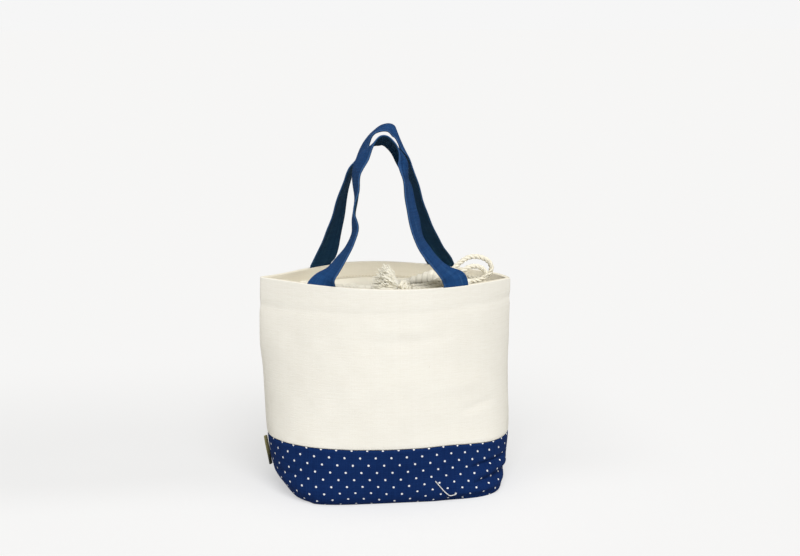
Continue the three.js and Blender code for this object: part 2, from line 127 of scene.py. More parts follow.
def new_group(name, kind, inputs, outputs):
    tree = bpy.data.node_groups.new(name, kind)
    for label, socket_type in inputs:
        tree.interface.new_socket(label, in_out="INPUT", socket_type="NodeSocket" + socket_type)
    for label, socket_type in outputs:
        tree.interface.new_socket(label, in_out="OUTPUT", socket_type="NodeSocket" + socket_type)
    add = Wiring(tree)
    return tree, add, add("NodeGroupInput").outputs, add("NodeGroupOutput")


# %% [markdown]
# ## The shape that every layer follows
#
# The bag's wall is one rule: at each height the outline has its own reach, corners and side pinch, and
# the values in between are blended. Every layer of cloth is the same wall at another inset, so the
# layers lie inside one another just as they do on the sewn bag. The numbers repeat those of the CAD
# source, in millimetres.

# %% Wall of the bag
RIM = 200
BAND = 52.6
HALF_WIDTH = 119.3
HALF_DEPTH = 70.5
RIM_DROP = 8
REAR_LIFT = 1.5
SEAM_LEAN = 6
CANVAS = 1.0
STRAP_INSET = 1.3
STRAP_THICKNESS = 1.8
STRAP_WIDTH = 28
FACING_INSET = 3.4
FACING_DEPTH = 16
COLLAR_INSET = 5.0
SEAM_TIP = 6.0


def above_band(share):
    """Height at a share of the way from the dotted base to the rim."""
    return BAND + share * (RIM - BAND)


LEVEL_HEIGHTS = np.array([0, 3, 9, 22, BAND, above_band(0.4), above_band(0.62), RIM])
LEVELS = {
    "left": [29, 24, 18.5, 11.2, 6.5, 4, 0.9, 1.9],
    "right": [16, 13, 10.5, 4.6, 0.6, 1, 0.6, 0.3],
    "front": [5.5, 2.2, 0.3, 0.3, 0, 0.5, 2.5, 5.5],
    "front_turn": [4, 3.5, 2.5, 1, 0, 0, 0, 0],
    "rear": [13.5, 9.5, 7, 4, 2.3, 0.5, 0, 0],
    "corner": [0.42, 0.45, 0.53, 0.72, 0.93, 1, 1, 1],
    "front_pinch": [0.42, 0.45, 0.53, 0.75, 1.03, 1.5, 1.85, 2.4],
    "rear_pinch": [0.5, 0.52, 0.58, 0.78, 1, 1.5, 1.85, 2.4],
    "rear_skew": [0, 0, 0, 0, 0, 0.2, 0.6, 1.2],
}
TIP_POWER = 0.6


def level(name, z):
    """Smooth blend of one value of LEVELS at the heights z."""
    values = np.array(LEVELS[name], float)
    count = len(values)
    before = np.maximum(np.arange(count) - 1, 0)
    after = np.minimum(np.arange(count) + 1, count - 1)
    slopes = (values[after] - values[before]) / (LEVEL_HEIGHTS[after] - LEVEL_HEIGHTS[before])
    i = np.clip(np.searchsorted(LEVEL_HEIGHTS, z) - 1, 0, count - 2)
    span = LEVEL_HEIGHTS[i + 1] - LEVEL_HEIGHTS[i]
    t = (z - LEVEL_HEIGHTS[i]) / span
    rise = values[i + 1] - values[i]
    low, high = slopes[i] * span, slopes[i + 1] * span
    return values[i] + low * t + (3 * rise - 2 * low - high) * t**2 + (low + high - 2 * rise) * t**3


def wall(angle, z, inset=0.0, lift=0.0):
    """Points of the wall.

    The angle starts at the right side seam and goes round by the rear, the left and the front.
    """
    angle, z, inset, lift = np.broadcast_arrays(angle, z, inset, lift)
    c, s = np.cos(angle), np.sin(angle)
    rear = s > 0
    height = np.maximum(z, 0) / RIM
    reach = HALF_WIDTH - np.where(c > 0, level("right", z), level("left", z)) - inset
    x = reach * np.sign(c) * np.abs(c) ** level("corner", z)
    seam = -SEAM_LEAN * z / RIM
    forward = level("front_turn", z) * x / HALF_WIDTH
    depth = HALF_DEPTH - np.where(rear, level("rear", z) + seam, level("front", z) - seam - forward)
    pinch = np.where(rear, level("rear_pinch", z) - level("rear_skew", z) * c, level("front_pinch", z))
    y = (depth - SEAM_TIP) * np.abs(s) ** pinch + (SEAM_TIP - inset) * np.abs(s) ** TIP_POWER
    sink = RIM_DROP / 2 * x / HALF_WIDTH * height**1.5
    lifted = np.where(rear, REAR_LIFT * s * height**3, 0)
    return np.stack([x, seam + y * np.sign(s), z - sink + lifted + lift], axis=-1)


def rim_angle(x, rear):
    """Angle at which the rim has this x, on the rear or the front."""
    angle = math.acos(x / (HALF_WIDTH - float(level("right" if x > 0 else "left", RIM))))
    return angle if rear else 2 * math.pi - angle


print("rim corners", np.round(wall(np.array([0, math.pi]), RIM), 1).tolist())

# %% [markdown]
# ## Softness of the cloth
#
# Canvas never lies perfectly even. `relief` says how many millimetres the surface stands out at each
# place: the hem inside the rim makes a small step, seams pull in, the standing walls swell a little,
# and the right corner of the base is crumpled. Creases are short lines seen from the front, each
# pressed in or raised with its own width.

# %% Relief
BAND_SAG = 5
SAG_REACH = 18  # how far above and below the seam the cloth sags with it
HEM_LINE = RIM - 22  # height at which the hem inside draws the walls in
SIDE_REACH = 11  # how far from the side edges the side seam still shapes the cloth
SWELLS = [(0.5, 75, 3), (0.22, 30, 5)]  # height, spacing and seed of the even swell of the walls
CREASES = [
    # x and height of both ends, width, how far it stands out (minus is pressed in)
    ((72, 14), (112, 18), 2.5, -2.9),
    ((68, 28.5), (108, 31), 2.3, -2.4),
    ((70, 21.5), (110, 24.5), 3.4, 1.6),
    ((84, 9), (108, 11), 3.0, 1.3),
    ((38, 1.6), (94, 3.4), 3.2, -3.0),
    ((-112, 24), (-88, 27), 2.4, -0.8),
    ((-112, 11), (-78, 1), 7.0, -2.4),
    ((-20, 150), (46, 154), 7.0, -0.5),
    ((-34, 163), (30, 160), 6.0, 0.35),
    ((58, 82), (96, 88), 4.5, -0.45),
    ((20, 104), (80, 108), 6.0, 0.3),
]


def ripple(points, size, seed):
    """Even bumps between about -1 and 1, roughly `size` millimetres apart, the same on every run."""
    chance = np.random.default_rng(seed)
    total = np.zeros(points.shape[:-1])
    for _ in range(7):
        direction = chance.normal(size=3)
        direction *= 2 * math.pi / size * chance.uniform(0.6, 1.4) / np.linalg.norm(direction)
        total += np.sin(points @ direction + chance.uniform(0, 2 * math.pi))
    return total / 3.2


def ease(value, low, high):
    """A smooth rise from 0 at low to 1 at high."""
    t = np.clip((value - low) / (high - low), 0, 1)
    return t * t * (3 - 2 * t)


def bump(value, at, width):
    """A smooth hump that is 1 at one value and fades within about a width of it."""
    return np.exp(-(((value - at) / width) ** 2))


def crease(points, start, end, width, height):
    """How far one crease moves the front wall at these points."""
    start, end = np.array(start, float), np.array(end, float)
    seen = points[..., [0, 2]]
    along = (end - start) / np.dot(end - start, end - start)
    t = (seen - start) @ along
    apart = np.linalg.norm(seen - start - np.clip(t, 0, 1)[..., None] * (end - start), axis=-1)
    fade = ease(t, -0.1, 0.35) * (1 - ease(t, 0.9, 1.15))
    return height * fade * bump(apart, 0, width) * (points[..., 1] < 0)


def band_dip(angle, z):
    """The sewn edge of the base sags at the right end of the front, and the cloth about it follows."""
    edge = wall(angle, BAND)
    sag = BAND_SAG * ease(edge[..., 0], 45, 108) * (1 - ease(edge[..., 1], 0, 8))
    return -sag * bump(z, BAND, SAG_REACH)


def relief(angle, z):
    """How far the cloth stands out from the even wall, in millimetres."""
    points = wall(angle, z)
    z = points[..., 2]
    from_seam = np.abs(points[..., 1] + SEAM_LEAN * z / RIM)
    near_side = bump(np.abs(points[..., 0]), HALF_WIDTH, SIDE_REACH)
    swell = sum(height * ripple(points, size, seed) for height, size, seed in SWELLS)
    out = swell * (1 - 0.8 * ease(z, RIM - 40, RIM - 8)) * ease(z, 1, 14)
    hem = (0.3 + 0.35 * near_side) * bump(z, HEM_LINE, 4)
    side_seam = 0.6 * bump(from_seam, 0, 1.1) * near_side
    base_seam = 0.5 * bump(z - BAND - band_dip(angle, z), 0, 1.4)
    out = out - hem - side_seam - base_seam
    for start, end, width, height in CREASES:
        out += crease(points, start, end, width, height)
    return out


def cloth_wall(angle, z, inset=0.0):
    """The wall with its softness, at an inset."""
    angle, z, inset = np.broadcast_arrays(angle, z, inset)
    z = z + band_dip(angle, z)
    return wall(angle, z, inset - relief(angle, z))


front_angles = np.linspace(math.pi, 2 * math.pi, 200)
print("front relief, mm:", round(float(np.ptp(relief(front_angles, 120.0))), 2))

# %% [markdown]
# ## From a grid of points to a piece of cloth
#
# Each cloth piece is a grid: columns along the seam, rows across the cloth. Its UV map is measured in
# metres along the cloth, so that a weave or a dot has its true size everywhere. Grids that meet are
# welded, and open ends are filled, which gives one closed body with outward faces.


# %% Cloth mesh helpers
def columns(start, end, count, ease_ends=0.1):
    """Angles from start to end, closer together at both ends, where the wall turns sharply."""
    t = np.linspace(0, 1, count)
    return start + (end - start) * (t - ease_ends * np.sin(2 * math.pi * t))


def low_columns(start, end, count):
    """Columns for cloth that reaches the boxed base, where even angles leave wide steps in the middle."""
    steps = np.linspace(-1, 1, 57)
    square = np.arccos(np.sign(steps) * np.abs(steps) ** (1 / LEVELS["corner"][0]))
    on_front = start > math.pi / 2
    inside = square + (start if on_front else 0)
    inside = inside[(inside > start) & (inside < end)]
    merged = np.sort(np.concatenate([columns(start, end, count), inside]))
    return merged[np.concatenate([[True], np.diff(merged) > 1e-4])]


def cloth_uv(grid):
    """Distances along the cloth in metres, from the middle column and from the first row."""
    across = np.linalg.norm(np.diff(grid, axis=0), axis=-1)
    up = np.linalg.norm(np.diff(grid, axis=1), axis=-1)
    u = np.vstack([np.zeros(grid.shape[1]), np.cumsum(across, axis=0)])
    v = np.hstack([np.zeros((grid.shape[0], 1)), np.cumsum(up, axis=1)])
    u -= u[grid.shape[0] // 2]
    return np.stack([u, v], axis=-1) * MM


def cloth_piece(name, grids, material, weld=2e-6, fill=True):
    """One mesh object from grids of points in millimetres. Each grid comes with its UV grid."""
    mesh = bpy.data.meshes.new(name)
    shape = bmesh.new()
    layer = shape.loops.layers.uv.new("UVMap")
    for points, uv in grids:
        rows = [[shape.verts.new(p) for p in line] for line in points * MM]
        for i in range(len(rows) - 1):
            for j in range(len(rows[0]) - 1):
                corners = [(i, j), (i + 1, j), (i + 1, j + 1), (i, j + 1)]
                face = shape.faces.new([rows[a][b] for a, b in corners])
                for loop, (a, b) in zip(face.loops, corners):
                    loop[layer].uv = uv[a, b]
    bmesh.ops.remove_doubles(shape, verts=shape.verts, dist=weld)
    bmesh.ops.dissolve_degenerate(shape, edges=shape.edges, dist=1e-7)
    if fill:
        bmesh.ops.holes_fill(shape, edges=[e for e in shape.edges if e.is_boundary], sides=0)
    bmesh.ops.recalc_face_normals(shape, faces=shape.faces)
    for face in shape.faces:
        face.smooth = True
    shape.to_mesh(mesh)
    shape.free()
    piece = bpy.data.objects.new(name, mesh)
    bpy.context.collection.objects.link(piece)
    mesh.materials.append(material)
    print(f"{name}: {len(mesh.polygons)} faces")
    return piece


def swept(section, angles):
    """A closed section, a list of (inset, height), carried along the wall at these angles."""
    loop = np.array([*section, section[0]], float)
    return cloth_wall(angles[:, None], loop[None, :, 1], loop[None, :, 0])


def rounded(start, middle, end, steps=4):
    """Points of a small rounded corner between two points, bending over a third."""
    t = np.linspace(0, 1, steps + 1)[:, None]
    a, b, c = (np.array(p, float) for p in (start, middle, end))
    return [tuple(p) for p in (1 - t) ** 2 * a + 2 * t * (1 - t) * b + t**2 * c]


def heights(low, high, count):
    """Evenly spaced heights, both ends included."""
    return np.linspace(low, high, count)


# %% [markdown]
# ## Effects that several materials share
#
# Plain weave, slubs and flecks are the marks of cotton cloth. Each is a node group that reads the
# cloth's own coordinates in metres, so one group serves thick canvas and thin cotton alike with its own
# numbers.


# %% Woven threads
def make_woven_threads():
    """Plain weave. Height is how far a thread stands out, and tone is each thread's own shade."""
    inputs = [("Cloth", "Vector"), ("Threads per Metre", "Float"), ("Unevenness", "Float")]
    outputs = [("Height", "Float"), ("Tone", "Float")]
    tree, add, given, result = new_group("woven_threads", "ShaderNodeTree", inputs, outputs)
    place = add.scaled(given["Cloth"], given["Threads per Metre"])
    wander = add("ShaderNodeTexNoise", {"Vector": place, "Scale": 0.13, "Detail": 2.0})
    centred = add.vector("SUBTRACT", wander.outputs["Color"], (0.5, 0.5, 0.5))
    place = add.vector("ADD", place, add.scaled(centred, given["Unevenness"]))
    parts = add("ShaderNodeSeparateXYZ", {0: place})
    warp, weft = parts.outputs["X"], parts.outputs["Y"]
    warp_round = add.math("ABSOLUTE", add.math("SINE", add.math("MULTIPLY", warp, math.pi)))
    weft_round = add.math("ABSOLUTE", add.math("SINE", add.math("MULTIPLY", weft, math.pi)))
    both = add.math("ADD", add.math("FLOOR", warp), add.math("FLOOR", weft))
    weft_on_top = add.math("FLOORED_MODULO", both, 2.0)
    warp_high = add.math("MULTIPLY", warp_round, add.math("MULTIPLY_ADD", weft_round, 0.5, 0.5))
    weft_high = add.math("MULTIPLY", weft_round, add.math("MULTIPLY_ADD", warp_round, 0.5, 0.5))
    add.join(add.blend_values(weft_on_top, warp_high, weft_high), result.inputs["Height"])
    warp_tone = add("ShaderNodeTexWhiteNoise", {"W": add.math("FLOOR", warp)}, noise_dimensions="1D")
    weft_tone = add("ShaderNodeTexWhiteNoise", {"W": add.math("FLOOR", weft)}, noise_dimensions="1D")
    tone = add.blend_values(weft_on_top, warp_tone.outputs["Value"], weft_tone.outputs["Value"])
    add.join(tone, result.inputs["Tone"])
    return tree


def make_slubs():
    """Streaks where a thread was spun thicker."""
    inputs = [("Cloth", "Vector"), ("Length", "Float"), ("Thickness", "Float")]
    tree, add, given, result = new_group("slubs", "ShaderNodeTree", inputs, [("Streaks", "Float")])
    parts = add("ShaderNodeSeparateXYZ", {0: given["Cloth"]})
    across = add.math("DIVIDE", parts.outputs["X"], given["Length"])
    up = add.math("DIVIDE", parts.outputs["Y"], given["Thickness"])
    stretched = add("ShaderNodeCombineXYZ", {0: across, 1: up})
    noise = add("ShaderNodeTexNoise", {"Vector": stretched, "Scale": 1.0, "Detail": 3.0, "Roughness": 0.6})
    add.join(add.ramp(noise.outputs[0], 0.3, 0.72), result.inputs["Streaks"])
    return tree


def make_seed_flecks():
    """Small round specks, of which only a share is kept."""
    inputs = [("Cloth", "Vector"), ("Flecks per Metre", "Float"), ("Share", "Float")]
    tree, add, given, result = new_group("seed_flecks", "ShaderNodeTree", inputs, [("Mask", "Float")])
    cells = add("ShaderNodeTexVoronoi", {"Vector": given["Cloth"], "Scale": given["Flecks per Metre"]})
    chosen = add("ShaderNodeSeparateColor", {0: cells.outputs["Color"]})
    size = add.math("MULTIPLY_ADD", chosen.outputs[1], 0.05, 0.02)
    spot = add.math("LESS_THAN", cells.outputs["Distance"], size)
    kept = add.math("LESS_THAN", chosen.outputs[0], given["Share"])
    add.join(add.math("MULTIPLY", spot, kept), result.inputs["Mask"])
    return tree


WOVEN_THREADS = make_woven_threads()
SLUBS = make_slubs()
SEED_FLECKS = make_seed_flecks()
print("cloth groups:", WOVEN_THREADS.name, SLUBS.name, SEED_FLECKS.name)


# %% [markdown]
# ## The dots
#
# The print on the base is a plain lattice: rows of dots with every second row moved by half a step. The
# distance to the nearest lattice point, made slightly uneven as a screen print is, gives a mask for the
# white ink.


# %% Dot lattice
def make_dot_lattice():
    """White where the cloth lies within a dot's radius of a lattice point."""
    inputs = [("Cloth", "Vector"), ("Step Across", "Float"), ("Step Up", "Float"), ("Dot Radius", "Float")]
    tree, add, given, result = new_group("dot_lattice", "ShaderNodeTree", inputs, [("Mask", "Float")])
    parts = add("ShaderNodeSeparateXYZ", {0: given["Cloth"]})

    def distance(shift):
        sides = []
        for axis, step in (("X", given["Step Across"]), ("Y", given["Step Up"])):
            cell = add.math("FRACT", add.math("ADD", add.math("DIVIDE", parts.outputs[axis], step), shift))
            sides.append(add.math("MULTIPLY", add.math("SUBTRACT", cell, 0.5), step))
        squares = add.math("ADD", add.math("POWER", sides[0], 2.0), add.math("POWER", sides[1], 2.0))
        return add.math("SQRT", squares)

    nearest = add.math("MINIMUM", distance(0.5), distance(0.0))
    rough = add("ShaderNodeTexNoise", {"Vector": given["Cloth"], "Scale": 900.0, "Detail": 1.0})
    edge = add.math("MULTIPLY_ADD", rough.outputs[0], 0.0005, nearest)
    outer = add.math("ADD", given["Dot Radius"], 0.0004)
    add.join(add.ramp(edge, given["Dot Radius"], outer, 1.0, 0.0), result.inputs["Mask"])
    return tree


DOT_LATTICE = make_dot_lattice()
print("dot lattice made")

# %% [markdown]
# ## Cloth materials
#
# All cloths share one recipe: a base colour, thread by thread tone, slubs, and a bump from the weave.
# Canvas gets seed flecks, the base gets its dots, and the straps get paler worn edges on the outer
# face, while their inner face is painted darker as shade. Colours are those seen in the photograph.


# %% Material helpers
def colour(red, green, blue):
    """A display colour from 0 to 255 as the linear colour that nodes take."""
    values = [c / 255 for c in (red, green, blue)]
    linear = [c / 12.92 if c <= 0.04045 else ((c + 0.055) / 1.055) ** 2.4 for c in values]
    return (*linear, 1.0)


def use_group(add, tree, **inputs):
    """A node that runs a group. An underscore in a keyword stands for a space."""
    made = add("ShaderNodeGroup", node_tree=tree)
    for key, value in inputs.items():
        add.join(value, made.inputs[key.replace("_", " ")])
    return made


def new_material(name, sheen=0.0):
    """A dull cloth-like material, with its wiring and its shader."""
    material = bpy.data.materials.new(name)
    material.use_nodes = True
    tree = material.node_tree
    shader = tree.nodes["Principled BSDF"]
    shader.inputs["Specular IOR Level"].default_value = 0.08
    shader.inputs["Sheen Weight"].default_value = sheen
    shader.inputs["Sheen Roughness"].default_value = 0.6
    return material, Wiring(tree), shader


def cloth_material(name, base, dark, threads, depth, contrast=0.5, slub=0.15, flecks=0.0, extra=None):
    """A woven cloth with so many threads to the metre, woven so many millimetres deep.

    `extra` may change the colour by more nodes and returns the new colour socket.
    """
    material, add, shader = new_material(name)
    place = add("ShaderNodeUVMap", uv_map="UVMap").outputs[0]
    woven = use_group(add, WOVEN_THREADS, Cloth=place, Threads_per_Metre=float(threads), Unevenness=0.9)
    across = use_group(add, SLUBS, Cloth=place, Length=0.011, Thickness=0.0011)
    cloudy = add("ShaderNodeTexNoise", {"Vector": place, "Scale": 28.0, "Detail": 3.0})
    amount = add.math("MULTIPLY", woven.outputs["Tone"], contrast)
    amount = add.math("MULTIPLY_ADD", across.outputs["Streaks"], slub, amount)
    amount = add.math("MULTIPLY_ADD", cloudy.outputs[0], 0.25, amount)
    # painted shade: the cloth is darker where its threads dip between one another
    painted_gap_shade = add.ramp(woven.outputs["Height"], 0.0, 0.45, contrast, 0.0)
    amount = add.math("ADD", amount, painted_gap_shade)
    shade = add.mix(amount, base, dark)
    if flecks:
        seeds = use_group(add, SEED_FLECKS, Cloth=place, Flecks_per_Metre=170.0, Share=flecks)
        shade = add.mix(add.math("MULTIPLY", seeds.outputs[0], 0.55), shade, colour(150, 118, 78))
    if extra:
        shade = extra(add, place, shade, woven)
    add.join(shade, shader.inputs["Base Color"])
    rough = add.math("MULTIPLY_ADD", woven.outputs["Tone"], 0.08, 0.86)
    add.join(rough, shader.inputs["Roughness"])
    height = add.math("MULTIPLY_ADD", across.outputs["Streaks"], 0.5, woven.outputs["Height"])
    raised = add("ShaderNodeBump", {"Strength": 0.7, "Distance": depth * MM, "Height": height})
    add.join(raised, shader.inputs["Normal"])
    return material


# %% The cloths of this bag
DOT_SHIFT = (0.00521, 0.0216)
DOT_SHEAR = 0.075  # the cloth was cut a little off its grain
DOT_STEPS = {"Step_Across": 0.01423, "Step_Up": 0.01418}
DOT_RADIUS = 0.0010
INNER_FACE = 100  # the strap's inner face stands this many millimetres further along its UV map
# painted shade: the strap's inner face is multiplied by this, darker and greener
PAINTED_INNER_SHADE = (0.62, 0.7, 0.52, 1)


def white_dots(add, place, shade, woven):
    """Dots of white ink, through which the threads still show a little."""
    parts = add("ShaderNodeSeparateXYZ", {0: place})
    across = add.math("MULTIPLY_ADD", parts.outputs[1], DOT_SHEAR, parts.outputs[0])
    straight = add("ShaderNodeCombineXYZ", {0: across, 1: parts.outputs[1]})
    shifted = add("ShaderNodeMapping", {"Vector": straight, "Location": (*DOT_SHIFT, 0)})
    dots = use_group(add, DOT_LATTICE, Cloth=shifted, Dot_Radius=DOT_RADIUS, **DOT_STEPS)
    thin = add.math("MULTIPLY", woven.outputs["Tone"], 0.4)
    ink = add.mix(thin, colour(246, 247, 250), colour(212, 219, 232))
    return add.mix(dots.outputs[0], shade, ink)


def worn_edges_and_inner_shade(add, place, shade, woven):
    """Straps rub pale along both folded edges and catch lint. Their inner faces are painted in shade, darker
    and greener.
    """
    parts = add("ShaderNodeSeparateXYZ", {0: place})
    # the inner face, which is painted in shade below
    inner = add.math("GREATER_THAN", parts.outputs[0], INNER_FACE / 2 * MM)
    across = add.math("MULTIPLY_ADD", inner, -INNER_FACE * MM, parts.outputs[0])
    from_middle = add.math("ABSOLUTE", across)
    from_edge = add.math("ABSOLUTE", add.math("SUBTRACT", from_middle, STRAP_WIDTH / 2 * MM))
    patchy = add("ShaderNodeTexNoise", {"Vector": place, "Scale": 160.0, "Detail": 4.0})
    edge = add.ramp(from_edge, 0.0002, 0.0016, 0.5, 0.0)
    faded = add.mix(add.math("MULTIPLY", edge, patchy.outputs[0]), shade, colour(92, 124, 168))
    lengthwise = add("ShaderNodeMapping", {"Vector": place, "Scale": (260, 30, 1)})
    streaks = add("ShaderNodeTexNoise", {"Vector": lengthwise, "Scale": 1.0})
    faded = add.mix(add.ramp(streaks.outputs[0], 0.55, 0.8, 0.0, 0.35), faded, colour(78, 118, 158))
    lint = use_group(add, SEED_FLECKS, Cloth=place, Flecks_per_Metre=210.0, Share=0.018)
    faded = add.mix(add.math("MULTIPLY", lint.outputs[0], 0.6), faded, colour(168, 188, 210))
    # painted shade: the inner face is multiplied by a darker, greener tint
    return add.mix(inner, faded, add.mix(1.0, faded, PAINTED_INNER_SHADE, "MULTIPLY"))


def label_darker_below(add, place, shade, woven):
    """The tape is darker towards its lower end."""
    up = add("ShaderNodeSeparateXYZ", {0: place}).outputs[1]
    return add.mix(add.ramp(up, 0.004, 0.018), colour(64, 66, 58), shade)


natural_canvas = cloth_material(
    "natural_canvas",
    colour(250, 249, 244),
    colour(235, 231, 221),
    threads=1250,
    depth=0.14,
    contrast=0.17,
    slub=0.2,
    flecks=0.03,
)
# painted shade: a copy of the canvas for the inside of the bag, a little darker and warmer than the outside
shaded_canvas_inside = cloth_material(
    "natural_canvas_inside",
    colour(248, 243, 230),
    colour(230, 222, 203),
    threads=1250,
    depth=0.14,
    contrast=0.16,
    flecks=0.03,
)
dotted_cloth = cloth_material(
    "dotted_cloth", colour(20, 50, 104), colour(8, 30, 76), threads=1700, depth=0.12, extra=white_dots
)
navy_canvas = cloth_material(
    "navy_canvas", colour(38, 82, 138), colour(16, 48, 92), threads=1450, depth=0.2, extra=worn_edges_and_inner_shade
)
thin_cotton = cloth_material(
    "thin_cotton", colour(255, 252, 241), colour(246, 239, 220), threads=2100, depth=0.1, contrast=0.12
)
label_tape = cloth_material(
    "label_tape", colour(152, 147, 102), colour(120, 115, 84), threads=2600, depth=0.12, extra=label_darker_below
)
print("cloth materials:", len(bpy.data.materials))


# %% [markdown]
# ## Rope, thread and stitches
#
# A cotton cord is fibres twisted into yarns, yarns into plies, and three plies into the cord. The plies
# are real geometry, laid by Geometry Nodes. The yarns in a ply are fine ridges, drawn in the material
# from a coordinate that the tree stores along and around each ply.


# %% Rope and thread materials
def make_twisted_yarns():
    """Fine ridges that wind round a ply, roughened by fibres."""
    inputs = [("Ply", "Vector"), ("Yarns", "Float"), ("Turns per Metre", "Float")]
    outputs = [("Height", "Float"), ("Tone", "Float")]
    tree, add, given, result = new_group("twisted_yarns", "ShaderNodeTree", inputs, outputs)
    parts = add("ShaderNodeSeparateXYZ", {0: given["Ply"]})
    around = add.math("ARCTAN2", parts.outputs["Y"], parts.outputs["X"])
    turns = add.math("MULTIPLY", parts.outputs["Z"], given["Turns per Metre"])
    turn = add.math("MULTIPLY", turns, 2 * math.pi)
    phase = add.math("MULTIPLY", add.math("ADD", around, turn), given["Yarns"])
    ridge = add.math("ABSOLUTE", add.math("SINE", add.math("MULTIPLY", phase, 0.5)))
    fibres = add("ShaderNodeTexNoise", {"Vector": given["Ply"], "Scale": 2600.0, "Detail": 3.0})
    add.join(add.math("MULTIPLY_ADD", fibres.outputs[0], 0.5, ridge), result.inputs["Height"])
    # partly painted shade: the tone is low in the grooves between yarns, and it also varies with the fibres
    add.join(add.math("MULTIPLY", ridge, fibres.outputs[0]), result.inputs["Tone"])
    return tree


TWISTED_YARNS = make_twisted_yarns()


def rope_material(name, pale, deep, yarns, turns, depth=0.25, fuzz=0.1):
    """Twisted fibres: so many yarns to a ply, turned so often in a metre, so many millimetres deep."""
    material, add, shader = new_material(name, sheen=fuzz)
    place = add("ShaderNodeAttribute", attribute_name="ply_place").outputs["Vector"]
    twisted = use_group(add, TWISTED_YARNS, Ply=place, Yarns=float(yarns), Turns_per_Metre=float(turns))
    # partly painted shade: darker in the grooves between yarns, and paler or deeper with the fibres
    fibre_tone_and_groove_shade = add.ramp(twisted.outputs["Tone"], 0.05, 0.5)
    add.join(add.mix(fibre_tone_and_groove_shade, deep, pale), shader.inputs["Base Color"])
    add.join(add.math("MULTIPLY_ADD", twisted.outputs["Tone"], -0.1, 0.95), shader.inputs["Roughness"])
    height = twisted.outputs["Height"]
    raised = add("ShaderNodeBump", {"Strength": 0.8, "Distance": depth * MM, "Height": height})
    add.join(raised, shader.inputs["Normal"])
    return material


ROPE_PALE = colour(255, 253, 243)
ROPE_TWIST = {"yarns": 6, "turns": 160}
THREAD_TWIST = {"yarns": 3, "turns": 900}
LOOSE_TWIST = {"yarns": 4, "turns": 120, "depth": 0.05, "fuzz": 0.7}
loose_cotton = rope_material("loose_cotton", ROPE_PALE, colour(254, 249, 232), **LOOSE_TWIST)
cotton_rope = rope_material("cotton_rope", ROPE_PALE, colour(246, 237, 214), **ROPE_TWIST)
white_thread = rope_material("white_thread", colour(250, 250, 250), colour(222, 224, 230), **THREAD_TWIST)
natural_thread = rope_material("natural_thread", colour(244, 238, 224), colour(214, 203, 178), **THREAD_TWIST)
navy_thread = rope_material("navy_thread", colour(30, 66, 116), colour(12, 36, 76), **THREAD_TWIST)
print("rope materials made")


# %% Ends that the Geometry Nodes trees share
def with_ply_place(add, tube, place):
    """Stores where each point lies round and along its ply, for the rope material."""
    sockets = {"Geometry": tube, "Name": "ply_place", "Value": place}
    return add("GeometryNodeStoreNamedAttribute", sockets, data_type="FLOAT_VECTOR", domain="POINT")


def hand_out(add, shape, given, result):
    """Smooth faces with the given material are what a tree hands out."""
    real = add("GeometryNodeRealizeInstances", {0: shape})
    smooth = add("GeometryNodeSetShadeSmooth", {"Geometry": real})
    finished = add("GeometryNodeSetMaterial", {"Geometry": smooth, "Material": given["Material"]})
    add.join(finished, result.inputs[0])


# %% Laid rope as a Geometry Nodes tree
def make_laid_rope():
    """Plies wound round a line. The line comes in as a mesh of joined edges."""
    inputs = [("Line", "Geometry"), ("Plies", "Int"), ("Ply Radius", "Float"), ("Lay Radius", "Float")]
    inputs += [("Lay Length", "Float"), ("Step", "Float"), ("Sides", "Int"), ("Material", "Material")]
    tree, add, given, result = new_group("laid_rope", "GeometryNodeTree", inputs, [("Rope", "Geometry")])
    line = add("GeometryNodeMeshToCurve", {0: given["Line"]})
    line = add("GeometryNodeResampleCurve", {"Curve": line, "Length": given["Step"]}, mode="LENGTH")
    copies = add("GeometryNodeDuplicateElements", {0: line, "Amount": given["Plies"]}, domain="SPLINE")
    turn = add.math("DIVIDE", add("GeometryNodeSplineParameter").outputs["Length"], given["Lay Length"])
    share = add.math("DIVIDE", copies.outputs["Duplicate Index"], given["Plies"])
    angle = add.math("MULTIPLY", add.math("ADD", turn, share), 2 * math.pi)
    normal, tangent = add("GeometryNodeInputNormal"), add("GeometryNodeInputTangent")
    sockets = {"Vector": normal, "Axis": tangent, "Angle": angle}
    outward = add("ShaderNodeVectorRotate", sockets, rotation_type="AXIS_ANGLE")
    out = add.scaled(outward, given["Lay Radius"])
    plies = add("GeometryNodeSetPosition", {"Geometry": copies, "Offset": out})
    kept = add("GeometryNodeCaptureAttribute", {"Geometry": plies})
    kept.capture_items.new("FLOAT", "along")
    add.join(add("GeometryNodeSplineParameter").outputs["Length"], kept.inputs["along"])
    sockets = {"Resolution": given["Sides"], "Radius": given["Ply Radius"]}
    circle = add("GeometryNodeCurvePrimitiveCircle", sockets)
    ring = add("GeometryNodeCaptureAttribute", {"Geometry": circle})
    ring.capture_items.new("VECTOR", "around")
    add.join(add("GeometryNodeInputPosition"), ring.inputs["around"])
    line, circle = kept.outputs["Geometry"], ring.outputs["Geometry"]
    tube = add("GeometryNodeCurveToMesh", {"Curve": line, "Profile Curve": circle, "Fill Caps": True})
    x, y, _ = add("ShaderNodeSeparateXYZ", {0: ring.outputs["around"]}).outputs
    place = add("ShaderNodeCombineXYZ", {0: x, 1: y, 2: kept.outputs["along"]})
    hand_out(add, with_ply_place(add, tube, place), given, result)
    return tree


